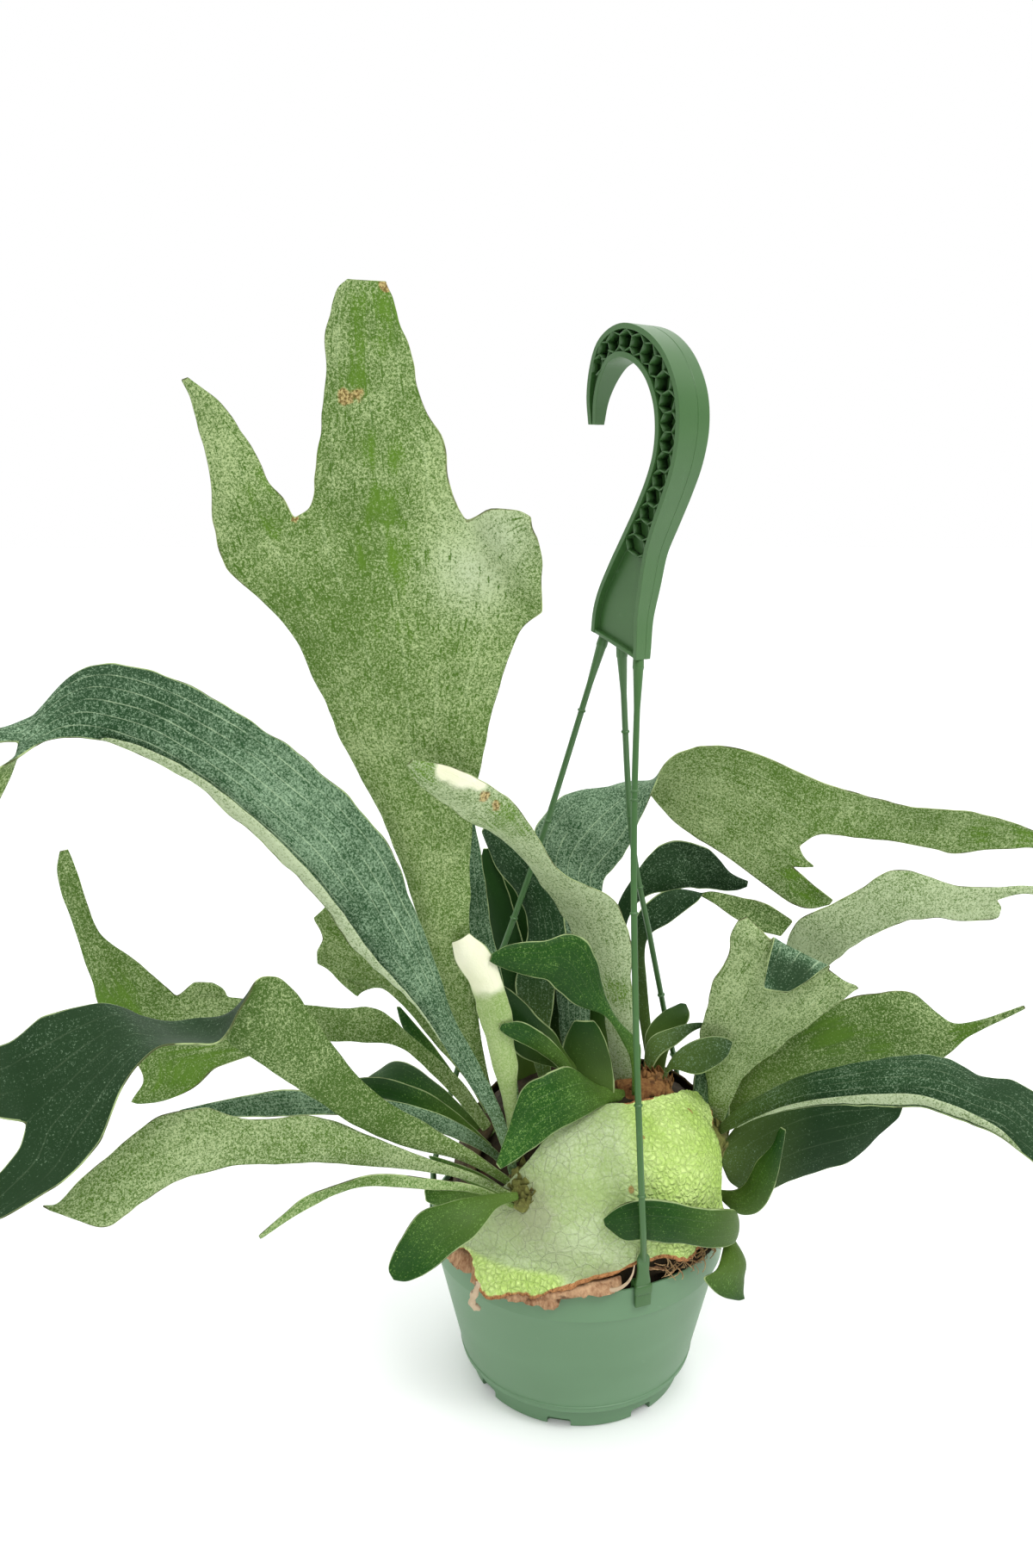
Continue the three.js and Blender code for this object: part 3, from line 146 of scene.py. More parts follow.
# Rows run from the root to the tip: the left edge x, y, z and the right edge x, y, z, seen from
# the upper side. A fork holds the points where lobes part, and each lobe has rows of its own.
FRONDS = {
    "tall_antler": {
        "skin": "grey", "cup": 0.1, "wave": 0.8, "split": (1, 2, 1),
        "rows": [
            (-28, -39, 130, -32, -39, 129), (-43, -44, 184, -49, -44, 182),
            (-50, -50, 245, -68, -50, 245), (-50, -53, 276, -77, -53, 275),
            (-48, -56, 312, -88, -56, 310), (-43, -58, 343, -104, -58, 345),
            (-36, -60, 371, -114, -60, 370), (-27, -62, 395, -127, -62, 397),
        ],
        "fork": (-17, -68, 404, -49, -62, 441, -121, -62, 442, -150, -66, 421),
        "lobes": [
            [
                (-17, -70, 415, -41, -66, 444), (-18, -73, 426, -28, -70, 445),
                (-19, -75, 435, -22, -74, 442),
            ],
            [
                (-56, -61, 450, -113, -61, 449), (-60, -61, 470, -110, -61, 470),
                (-67, -62, 489, -107, -62, 490), (-72, -64, 512, -105, -64, 515),
                (-77, -66, 527, -100, -66, 530), (-79, -67, 533, -96, -67, 534),
            ],
            [
                (-128, -65, 455, -154, -67, 443), (-138, -68, 474, -155, -69, 467),
                (-148, -71, 488, -158, -71, 485), (-159, -73, 497, -162, -73, 496),
            ],
        ],
    },
    "long_arch": {
        "skin": "grey", "wave": 0.6, "split": (2, 2),
        "rows": [
            (-31, -47.5, 127, -27, -47, 129), (-40, -53, 163, -35, -51, 165),
            (-56, -58, 194, -46, -55, 194), (-73, -66, 226, -58, -60, 222),
            (-95, -76, 254, -73, -64, 274), (-120, -88, 294, -90, -72, 313),
            (-147, -100, 327, -122, -84, 349), (-171, -114, 350, -151, -98, 373),
            (-186, -126, 359, -176, -112, 386), (-196, -136, 362, -193, -122, 385),
        ],
        "fork": (-200, -148, 361, -207, -146, 362, -206, -134, 370),
        "lobes": [
            [
                (-206, -157, 357, -208, -149, 352), (-211, -164, 353, -213, -154, 340),
                (-217, -168, 342, -217, -159, 331), (-222, -164, 325, -221, -163, 323),
            ],
            [
                (-211, -150, 363, -215, -140, 366), (-220, -156, 361, -224, -146, 366),
                (-231, -160, 356, -234, -152, 361), (-244, -160, 348, -243, -158, 349),
            ],
        ],
    },
    "left_dark_twist": {
        "skin": "grey", "cup": 0.08, "wave": 0.8, "split": (2, 2),
        "rows": [
            (-28, -51.3, 131, -30, -51.5, 128), (-49, -61, 153, -53, -62, 148),
            (-71, -70, 172, -79, -74, 162), (-93, -80, 193, -102, -86, 180),
            (-107, -90, 219, -123, -97, 202), (-119, -98, 246, -138, -106, 218),
            (-131, -108, 258, -148, -109, 229), (-136, -121, 251, -156, -107, 236),
            (-142, -133, 240, -164, -106, 236), (-151, -142, 242, -172, -108, 236),
            (-162, -150, 243, -181, -114, 241), (-171, -160, 234, -195, -120, 249),
        ],
        "fork": (-177, -172, 216, -211, -160, 216, -215, -132, 248),
        "lobes": [
            [
                (-185, -180, 208, -211, -170, 209), (-194, -187, 202, -217, -179, 203),
                (-206, -192, 196, -221, -187, 198), (-223, -195, 191, -225, -194, 193),
            ],
            [
                (-219, -164, 220, -226, -138, 239), (-230, -168, 228, -237, -148, 238),
                (-243, -172, 231, -247, -162, 236), (-255, -174, 228, -256, -172, 230),
            ],
        ],
    },
    "left_back_fork": {
        "skin": "grey", "cup": 0.08, "wave": 0.8, "split": (1, 2, 1),
        "rows": [
            (-31, -24, 126, -33, -24, 123), (-54, -23, 164, -59, -25, 159),
            (-70, -24, 182, -75, -28, 178), (-85, -24, 195, -88, -30, 190),
            (-99, -26, 208, -101, -34, 194), (-119, -29, 209, -119, -38, 196),
            (-143, -33, 213, -141, -44, 196),
        ],
        "fork": (-169, -37, 217, -192, -42, 219, -212, -52, 194, -171, -56, 189),
        "lobes": [
            [(-171, -36, 221, -188, -41, 222), (-176, -36, 224, -184, -39, 225)],
            [
                (-200, -44, 230, -226, -50, 215), (-211, -46, 240, -229, -50, 230),
                (-224, -47, 251, -234, -49, 247), (-229, -48, 267, -239, -48, 264),
                (-233, -48, 283, -242, -48, 281), (-236, -48, 293, -240, -48, 292),
            ],
            [
                (-204, -60, 185, -179, -62, 182), (-207, -63, 179, -194, -64, 176),
                (-209, -64, 175, -206, -64, 174),
            ],
        ],
    },
    "left_low_pale": {
        "skin": "grey", "cup": 0.1, "wave": 1.2,
        "rows": [
            (-30, -58, 131, -32, -58.3, 128), (-52, -66, 146, -54, -68, 143),
            (-75, -73, 158, -77, -76, 151), (-94, -81, 171, -97, -88, 160),
            (-115, -90, 185, -120, -97, 166), (-139, -99, 187, -144, -108, 170),
            (-160, -107, 196, -163, -120, 171), (-177, -118, 197, -175, -131, 169),
            (-190, -128, 188, -183, -139, 165), (-202, -135, 178, -189, -144, 162),
            (-211, -141, 171, -199, -146, 165), (-216, -144, 171, -213, -145, 169),
        ],
    },
    "left_low_thin": {
        "wave": 0.3,
        "rows": [
            (-29, -61.7, 127, -30, -62, 124), (-46, -71, 141, -47, -72, 138),
            (-66, -84, 152, -67, -85, 147), (-88, -96, 161, -91, -97, 155),
            (-104, -104, 160, -105, -103, 154), (-117, -110, 157, -114, -109, 152),
            (-125, -115, 152, -121, -114, 150), (-135, -121, 145, -134, -121, 143),
        ],
    },
    "left_mid_grey": {
        "skin": "grey", "cup": -0.08, "wave": 0.5,
        "rows": [
            (-34, -36, 127, -32, -35, 131), (-43, -42, 140, -41, -41, 144),
            (-57, -48, 151, -54, -45, 157), (-72, -54, 160, -66, -50, 166),
            (-84, -58, 166, -84, -53, 173), (-109, -64, 171, -110, -58, 179),
            (-137, -71, 173, -136, -65, 184), (-156, -77, 176, -156, -72, 183),
            (-180, -84, 181, -179, -83, 182),
        ],
    },
    "left_mid_hump": {
        "rows": [
            (-39, -20, 124, -36, -19, 129), (-57, -20, 142, -54, -17, 148),
            (-74, -14, 151, -72, -6, 159), (-93, -4, 155, -92, 7, 165), (-109, 5, 144, -109, 15, 153),
            (-125, 11, 133, -125, 18, 139), (-138, 15, 129, -138, 16, 131),
        ],
    },
    "left_mid_low": {
        "rows": [
            (-37, -30, 127, -35, -29, 131), (-58, -34, 147, -55, -32, 153),
            (-74, -38, 159, -72, -35, 168), (-93, -42, 168, -92, -37, 177),
            (-108, -47, 171, -107, -42, 179), (-122, -51, 170, -122, -47, 177),
            (-135, -55, 169, -135, -54, 172),
        ],
    },
    "left_back_wavy": {
        "skin": "grey", "cup": 0.12, "wave": 1, "split": (2, 1, 1),
        "rows": [
            (-34, -13, 130, -38, -14, 127), (-46, -6, 161, -54, -9, 158), (-66, 4, 188, -75, 0, 180),
            (-81, 12, 217, -97, 8, 201),
        ],
        "fork": (-101, 20, 252, -134, 18, 227, -129, 15, 209, -106, 12, 203),
        "lobes": [
            [(-117, 22, 254, -138, 20, 234), (-130, 21, 246, -139, 20, 238)],
            [(-137, 17, 221, -137, 16, 214)],
            [(-123, 14, 203, -113, 13, 200), (-118, 14, 199, -115, 13, 198)],
        ],
    },
    "left_tip_small": {
        "wave": 0,
        "rows": [
            (-49, -14, 135, -46, -13, 137), (-68, -7, 160, -62, -6, 162), (-83, -5, 179, -75, -4, 180),
            (-90, -4, 189, -84, -3, 191), (-93, -2, 199, -91, -2, 199),
        ],
    },
    "front_left_small": {
        "cup": -0.08,
        "rows": [
            (-27, -65, 131, -28, -64.6, 135), (-37, -78, 134, -43, -75, 139),
            (-45, -90, 128, -58, -83, 140), (-54, -96, 123, -71, -87, 137),
            (-63, -102, 118, -78, -96, 129), (-73, -106, 115, -82, -104, 122),
            (-80, -107, 116, -82, -106, 119),
        ],
    },
    "front_left_leaflet": {
        "wave": 0,
        "rows": [
            (-29, -55, 124, -30, -55, 127), (-43, -56, 130, -44, -56, 138),
            (-52, -57, 134, -54, -57, 143), (-61, -58, 140, -63, -58, 147),
            (-70, -59, 148, -70, -59, 149),
        ],
    },
    "front_left_old": {
        "wave": 0,
        "rows": [
            (-37, -49, 121, -37, -49, 125), (-51, -58, 126, -51, -57, 133),
            (-63, -64, 125, -64, -61, 137), (-71, -66, 129, -72, -64, 134),
        ],
    },
    "front_mid_green": {
        "wave": 0.6,
        "rows": [
            (27, -8, 154, 26, -6, 157), (15, -27, 161, 9, -25, 170), (4, -43, 163, -4, -43, 188),
            (-9, -56, 162, -18, -53, 189), (-18, -65, 160, -27, -56, 183),
            (-27, -73, 157, -32, -67, 168), (-35, -78, 154, -37, -77, 156),
        ],
    },
    "centre_green": {
        "wave": 0.5,
        "rows": [
            (27, -14, 158, 31, -13, 158), (26, -21, 179, 30, -19, 179), (22, -28, 192, 29, -24, 193),
            (12, -36, 211, 18, -30, 207), (-1, -43, 219, 12, -35, 224), (-10, -47, 228, 7, -39, 243),
            (-17, -51, 235, -2, -44, 256), (-29, -55, 239, -16, -50, 254),
            (-36, -58, 243, -30, -55, 254), (-41, -60, 247, -40, -59, 250),
        ],
    },
    "bleached_stub": {
        "skin": "pale", "cup": 0.2, "wave": 0.6,
        "rows": [
            (-27, -43, 131, -31, -43, 131), (-29, -48, 168, -35, -48, 169),
            (-29, -51, 195, -40, -51, 191), (-30, -53, 218, -46, -54, 216),
            (-33, -55, 234, -50, -56, 233), (-40, -57, 249, -56, -57, 248),
            (-50, -58, 260, -58, -58, 255),
        ],
    },
    "centre_dark_small": {
        "rows": [
            (10, -14, 158, 10, -13, 161), (-7, -27, 178, -5, -24, 184), (-23, -36, 187, -11, -31, 199),
            (-34, -41, 199, -19, -37, 210), (-41, -44, 213, -27, -42, 222),
            (-45, -47, 229, -37, -46, 231), (-46, -48, 235, -44, -48, 235),
        ],
    },
    "centre_curled_small": {
        "cup": -0.12, "wave": 0,
        "rows": [
            (4, -23, 158, 5, -22, 161), (-8, -34, 181, -6, -31, 187), (-20, -44, 196, -13, -40, 200),
            (-27, -53, 204, -20, -49, 210), (-33, -57, 209, -27, -54, 216),
            (-37, -59, 214, -36, -58, 216),
        ],
    },
    "torn_pale_curl": {
        "skin": "grey", "cup": 0.1, "wave": 0.8,
        "rows": [
            (27, -1, 152, 19, 0, 153), (30, -10, 186, 13, -4, 189), (26, -15, 216, 11, -9, 213),
            (24, -20, 240, 0, -12, 237), (18, -24, 263, -11, -16, 258),
            (0, -29.7, 274.9, -18.9, -22.8, 271.9), (-9.8, -37.1, 283.5, -26.6, -32.2, 286.4),
            (-20.4, -49.1, 304.4, -39.6, -47, 302.2), (-30.6, -63.9, 322.8, -49, -66.4, 313),
            (-43.7, -74.1, 334.9, -58.9, -71.2, 322.5), (-58.8, -80.8, 341.7, -68.3, -79.9, 333.2),
            (-70.2, -85.6, 344.6, -73, -84.6, 342.7),
        ],
    },
    "right_arch": {
        "skin": "grey", "wave": 0.8, "split": (1, 1, 2),
        "rows": [
            (-2, 13, 146, 4, 13, 146), (-5, 15, 161, 5, 15, 160), (-9, 18, 174, 6, 17, 175),
            (-12, 23, 198, 6, 21, 199), (-16, 28, 224, 7, 25, 224), (-21, 33, 251, 10, 31, 242),
            (-25, 39, 277, 12, 37, 256), (-12, 46, 297, 23, 40, 270), (12, 56, 302, 31, 41, 289),
            (30, 65, 301, 37, 43, 304), (41, 66, 288, 45, 48, 319), (54, 61, 277, 60, 50, 325),
            (73, 54, 267, 86, 50, 323),
        ],
        "fork": (110, 46, 242, 111, 46, 262, 114, 46, 273, 126, 46, 307),
        "lobes": [
            [(121, 45, 239, 122, 45, 253), (131, 43, 242, 133, 43, 245)],
            [(117, 45, 262, 117, 45, 267), (122, 45, 262, 122, 45, 263)],
            [
                (125, 46, 280, 144, 45, 302), (146, 46, 277, 157, 44, 299), (168, 44, 276, 171, 42, 296),
                (193, 40, 272, 193, 38, 296), (214, 36, 276, 211, 34, 293), (230, 33, 278, 228, 32, 287),
                (253, 28, 276, 252, 28, 279),
            ],
        ],
    },
    "centre_dark_tall": {
        "skin": "grey",
        "rows": [
            (-18, 3, 150, -13, 3, 151), (-27, 5, 180, -15, 5, 180), (-33, 9, 209, -12, 8, 210),
            (-27, 12, 232, -7, 10, 233), (-30, 14, 249, -10, 12, 250), (-37, 16, 260, -18, 14, 266),
            (-44, 18, 269, -31, 16, 281), (-51, 20, 286, -48, 20, 290),
        ],
    },
    "centre_dark_back": {
        "rows": [
            (-19, 22, 145, -14, 22, 146), (-31, 27, 193, -17, 27, 193), (-41, 31, 223, -22, 31, 224),
            (-45, 34, 248, -27, 34, 249), (-46, 37, 263, -31, 37, 264), (-43, 39, 281, -41, 39, 282),
        ],
    },
    "behind_tall_dark": {
        "rows": [
            (-28, -29, 131, -25, -29, 132), (-41, -31, 196, -33, -29, 198),
            (-53, -33, 238, -39, -29, 237), (-59, -33, 263, -43, -29, 260),
            (-59, -33, 285, -46, -29, 282), (-52, -32, 306, -50, -32, 307),
        ],
    },
    "right_fold": {
        "skin": "grey", "cup": 0.08, "wave": 0.6, "split": (1, 2, 1),
        "rows": [
            (74, 12, 126, 69, 13, 127), (84, 6, 159, 66, 9, 160), (99, 0, 179, 62, 5, 183),
            (113, -5, 194, 64, 1, 205),
        ],
        "fork": (128, -10, 210, 121, -10, 227, 93, -8, 241, 73, -4, 231),
        "lobes": [
            [(133, -12, 216, 128, -11, 222), (136, -12, 218, 134, -12, 220)],
            [(120, -14, 231, 93, -11, 243), (110, -22, 226, 90, -18, 233), (99, -26, 221, 88, -24, 221)],
            [(87, -7, 247, 73, -4, 240), (81, -6, 252, 77, -5, 250)],
        ],
    },
    "right_mid_pale": {
        "skin": "grey", "cup": 0.1, "wave": 1, "split": (1, 2),
        "rows": [
            (72, 30, 125, 69, 30, 127), (93, 30, 160, 86, 31, 171), (113, 25, 194, 103, 28, 215),
            (127, 20, 216, 111, 24, 239), (137, 16, 227, 123, 20, 249), (148, 11, 238, 139, 16, 259),
            (161, 7, 246, 154, 13, 271), (174, 4, 249, 171, 9, 269), (185, 1, 249, 185, 5, 266),
        ],
        "fork": (198, -3, 251, 201, -2, 261, 202, 0, 267),
        "lobes": [
            [(202, -4, 253, 203, -4, 258)],
            [(211, -4, 265, 212, -3, 269), (221, -7, 265, 222, -6, 269), (233, -10, 264, 234, -10, 266)],
        ],
    },
    "right_low_green": {
        "skin": "grey", "cup": 0.1, "wave": 0.8,
        "rows": [
            (74, 21, 122, 71, 21, 125), (94, 16, 145, 81.1, 18, 157.1), (118, 8, 160, 97.5, 14, 177.9),
            (143, 2, 169, 119.2, 9, 197.8), (163, -3, 173, 145, 6, 209), (176, -7, 178, 165, 2, 211),
            (183, -10, 185, 176, -2, 203), (189, -12, 193, 184, -7, 199), (198, -15, 201, 196, -13, 204),
            (213, -20, 213, 212, -20, 215),
        ],
    },
    "right_dark": {
        "skin": "grey", "wave": 0.8, "split": (2, 2),
        "rows": [
            (73, 5, 134, 74, 4, 129), (85, -3, 151, 91, -8, 146), (107, -14, 171, 108, -25, 160),
            (124, -24, 182, 124, -39, 170), (142, -32, 191, 139, -51, 177),
            (158, -40, 197, 153, -62, 182), (171, -48, 199, 163, -72, 183),
            (182, -58, 196, 173, -82, 183), (193, -66, 198, 181, -91, 183),
        ],
        "fork": (202, -76, 196, 198, -96, 186, 189, -102, 180),
        "lobes": [
            [
                (211, -84, 191, 207, -94, 184), (219, -92, 184, 214, -97, 180),
                (224, -98, 178, 222, -98, 177),
            ],
            [
                (201, -104, 177, 195, -108, 175), (203, -111, 170, 199, -112, 168),
                (205, -116, 163, 203, -116, 162),
            ],
        ],
    },
    "right_dark_low": {
        "skin": "grey", "wave": 0.8,
        "rows": [
            (73.4, 1, 121.8, 73.7, 1, 114.9), (79.7, 5, 131, 81.6, 3, 100.1),
            (93.3, 11, 142.4, 96.4, 5, 95.3), (113.3, 14, 152.2, 111.4, 6, 102.2),
            (133, 14, 156.7, 128.8, 6, 109.8), (148.4, 14, 156.1, 144.3, 6, 117.3),
            (160.6, 14, 151.6, 155.5, 8, 128.3), (168.5, 12, 144.1, 165.8, 10, 138.8),
        ],
    },
    "pup_upright": {
        "rows": [
            (72, 0, 100, 74, -1, 97), (80.8, -6, 103.5, 83.3, -8, 90.5),
            (86.8, -9, 110.5, 92.1, -13, 95), (89.8, -12, 122.1, 98.1, -16, 106.4),
            (93.1, -14, 129.1, 100.3, -18, 118.3), (97.6, -16, 136.6, 101.6, -19, 130.3),
            (99.2, -17, 142.8, 102.8, -19, 140.8), (100.6, -18, 146.3, 103, -19, 145.9),
        ],
    },
    "pup_front": {
        "rows": [
            (73, -31, 96, 73, -29, 99), (76, -48, 101, 76, -43.5, 116),
            (63, -62.5, 107, 62.5, -59.5, 126), (46, -69, 113, 46, -67, 134),
            (32, -71.5, 116, 31, -70.5, 137), (22, -72, 116, 20, -71.5, 134),
            (13, -71, 123, 12, -71, 126),
        ],
    },
    "pup_down": {
        "cup": -0.08, "wave": 0.3,
        "rows": [
            (76, -27, 93, 74, -30, 94), (82, -46, 91, 67, -60, 95), (81, -51, 84, 59, -67, 94),
            (81, -54, 79, 68, -64, 83), (81, -56, 76, 78, -57, 76),
        ],
    },
    "back_right_dark": {
        "skin": "grey", "wave": 0.5,
        "rows": [
            (31, 46, 132, 36, 46, 131), (18, 55, 187, 26, 55, 186), (18, 61, 226, 25, 59, 221),
            (33, 65, 256, 33, 61, 238), (48, 69, 269, 51, 63, 242), (69, 70, 264, 67, 65, 243),
            (82, 70, 251, 82, 67, 241), (92, 70, 246, 91, 69, 243),
        ],
    },
    "back_right_twist": {
        "skin": "grey", "wave": 0.3,
        "rows": [
            (40, 39, 134, 44, 39, 133), (30, 46, 191, 37, 46, 190), (29, 50, 226, 36, 48, 219),
            (40, 53, 242, 50, 50, 229), (54, 56, 245, 62, 51, 240), (68, 52, 241, 69, 54, 245),
            (81, 47, 233, 86, 51, 243), (94, 44, 227, 100, 48, 240), (106, 42, 224, 113, 45, 232),
        ],
    },
    "crown_leaf_dark": {
        "wave": 0.3,
        "rows": [
            (41, 24, 145, 45, 24, 145), (35, 29, 166, 47, 26, 164), (37, 32, 176, 54, 28, 175),
            (45, 34, 184, 59, 30, 183), (54, 36, 188, 57, 35, 188),
        ],
    },
    "crown_leaf_grey": {
        "skin": "grey", "wave": 0.3,
        "rows": [
            (34, 9, 156, 35, 6, 154), (35, 11, 177, 41, 5, 171), (47, 14, 183, 50, 8, 177),
            (57, 15, 186, 58, 12, 182), (64, 16, 186, 64, 15, 184),
        ],
    },
    "crown_leaf_oval": {
        "skin": "grey", "wave": 0.3,
        "rows": [
            (43, 0, 161, 43, -2, 158), (50, -3, 179, 47, -6, 170), (60, -6, 187, 58, -10, 169),
            (70, -8, 190, 68, -12, 175), (77, -9, 187, 74, -11, 181),
        ],
    },
}

# ---------------------------------------------------------------- colours and settings


def srgb(red, green, blue):
    """A colour from 0 to 255 as the linear colour that shaders use."""
    linear = [((c / 255 + 0.055) / 1.055) ** 2.4 if c > 10 else c / 3295 for c in (red, green, blue)]
    return (*linear, 1.0)


def colour_setting(name, description, *rgb):
    return FloatVectorProperty(
        name=name, description=description, subtype="COLOR", size=4, min=0, max=1, default=srgb(*rgb)
    )


class FernLeafSettings(bpy.types.PropertyGroup):
    """Colours and fineness of the leaves."""

    upper: colour_setting("Upper side", "Dark upper side of the big fronds", 26, 60, 28)
    under: colour_setting("Under side", "Under side of the big fronds", 74, 106, 32)
    young: colour_setting("Young leaf", "Upper side of the small leaves", 20, 58, 8)
    bare: colour_setting("Worn patches", "Flesh where the felt is rubbed off", 92, 130, 34)
    felt: colour_setting("Felt", "Silvery felt of the under sides", 173, 191, 136)
    frost: colour_setting("Frost", "Silvery felt of the upper sides", 138, 166, 134)
    spacing: FloatProperty(
        name="Mesh spacing", description="Distance between mesh rows", default=3.2 * MM,
        min=MM, max=10 * MM, unit="LENGTH", precision=4,
    )


class FernShieldSettings(bpy.types.PropertyGroup):
    """Colours and relief of the shield frond."""

    felted: colour_setting("Felted part", "Grey-green middle of the front shield", 156, 180, 112)
    lime: colour_setting("Fresh part", "Lime-coloured growing edge", 176, 208, 104)
    dry: colour_setting("Dry part", "Papery brown edge and old shields", 130, 80, 44)
    cell: FloatProperty(
        name="Cell size", description="Width of the cells of the vein net", default=3.0 * MM,
        min=MM, max=20 * MM, unit="LENGTH", precision=4,
    )


class FernPotSettings(bpy.types.PropertyGroup):
    """Colours and roundness of the pot and its hanger."""

    pot: colour_setting("Pot", "Moulded pot", 92, 128, 92)
    hanger: colour_setting("Hanger", "Moulded hook and strands", 56, 96, 46)
    steps: IntProperty(
        name="Steps round", description="Steps round the pot", default=144, min=48, max=256
    )


class FernStageSettings(bpy.types.PropertyGroup):
    """The floor and the camera."""

    floor: colour_setting("Floor", "Plain pale floor", 244, 246, 245)
    focal: FloatProperty(
        name="Focal length", description="Camera lens in millimetres", default=27.68, unit="CAMERA"
    )
    camera_height: FloatProperty(
        name="Camera height", description="Height above the floor", default=0.446, unit="LENGTH"
    )


# ---------------------------------------------------------------- materials


class Value:
    """A socket of a material, with arithmetic that adds Math nodes."""

    def __init__(self, paint, socket):
        self.paint = paint
        self.socket = socket

    def _math(self, operation, first, second):
        return self.paint.node("Math", {"operation": operation}, {0: first, 1: second})

    def __add__(self, other):
        return self._math("ADD", self, other)

    __radd__ = __add__

    def __sub__(self, other):
        return self._math("SUBTRACT", self, other)

    def __rsub__(self, other):
        return self._math("SUBTRACT", other, self)

    def __mul__(self, other):
        return self._math("MULTIPLY", self, other)

    __rmul__ = __mul__

    def __abs__(self):
        return self._math("ABSOLUTE", self, 0.0)

    def fraction(self):
        return self._math("FRACT", self, 0.0)

    def step(self, low, high):
        """0 below low, 1 above high, and smooth between them."""
        settings = {"interpolation_type": "SMOOTHSTEP"}
        return self.paint.node("MapRange", settings, {0: self, 1: low, 2: high, 3: 0.0, 4: 1.0})


class Paint:
    """The node tree of one material."""

    def __init__(self, name, block=None):
        self.material = block or bpy.data.materials.new(name)
        self.material.use_nodes = True
        self.tree = self.material.node_tree
        self.tree.nodes.clear()

    def node(self, kind, settings=None, inputs=None, output=0):
        """A node of any kind: its settings, its input values or links, and the output that is used."""
        made = self.tree.nodes.new("ShaderNode" + kind)
        for key, value in (settings or {}).items():
            setattr(made, key, value)
        for key, value in (inputs or {}).items():
            if isinstance(value, Value):
                self.tree.links.new(value.socket, made.inputs[key])
            else:
                made.inputs[key].default_value = value
        return Value(self, made.outputs[output]) if len(made.outputs) else None

    def place(self):
        """Object coordinates."""
        return self.node("TexCoord", output="Object")

    def noise(self, scale, detail=3.0, rough=0.5, vector=None):
        inputs = {"Vector": vector or self.place(), "Scale": scale, "Detail": detail, "Roughness": rough}
        return self.node("TexNoise", None, inputs, "Fac")

    def cells(self, scale, vector):
        """How far a point is from the walls of a net of cells."""
        inputs = {"Vector": vector, "Scale": scale}
        return self.node("TexVoronoi", {"feature": "DISTANCE_TO_EDGE"}, inputs, "Distance")

    def stretched(self, x, y, z):
        """Object coordinates, scaled along each axis."""
        return self.node("Mapping", None, {"Vector": self.place(), "Scale": (x, y, z)})

    def attribute(self, name):
        return self.node("Attribute", {"attribute_name": name}, output="Fac")

    def blade(self):
        """Across the blade from 0 to 1, and metres along it."""
        made = self.node("UVMap", {"uv_map": "blade"})
        across = self.node("SeparateXYZ", None, {0: made}, 0)
        return across, self.node("SeparateXYZ", None, {0: made}, 1)

    def mix(self, mask, first, second):
        return self.node("Mix", {"data_type": "RGBA"}, {0: mask, 6: first, 7: second}, 2)

    def finish(self, colour, rough, height=None, depth=0.3, distance=MM, shine=0.5, glow=0.0):
        """The surface, with a bump from height where there is one, and a glow of its own colour."""
        inputs = {"Base Color": colour, "Roughness": rough, "Specular IOR Level": shine}
        if glow:
            inputs["Emission Color"] = colour
            inputs["Emission Strength"] = glow
        if height is not None:
            bump = {"Height": height, "Strength": depth, "Distance": distance}
            inputs["Normal"] = self.node("Bump", None, bump)
        shader = self.node("BsdfPrincipled", None, inputs)
        self.node("OutputMaterial", None, {"Surface": shader})
        return self.material


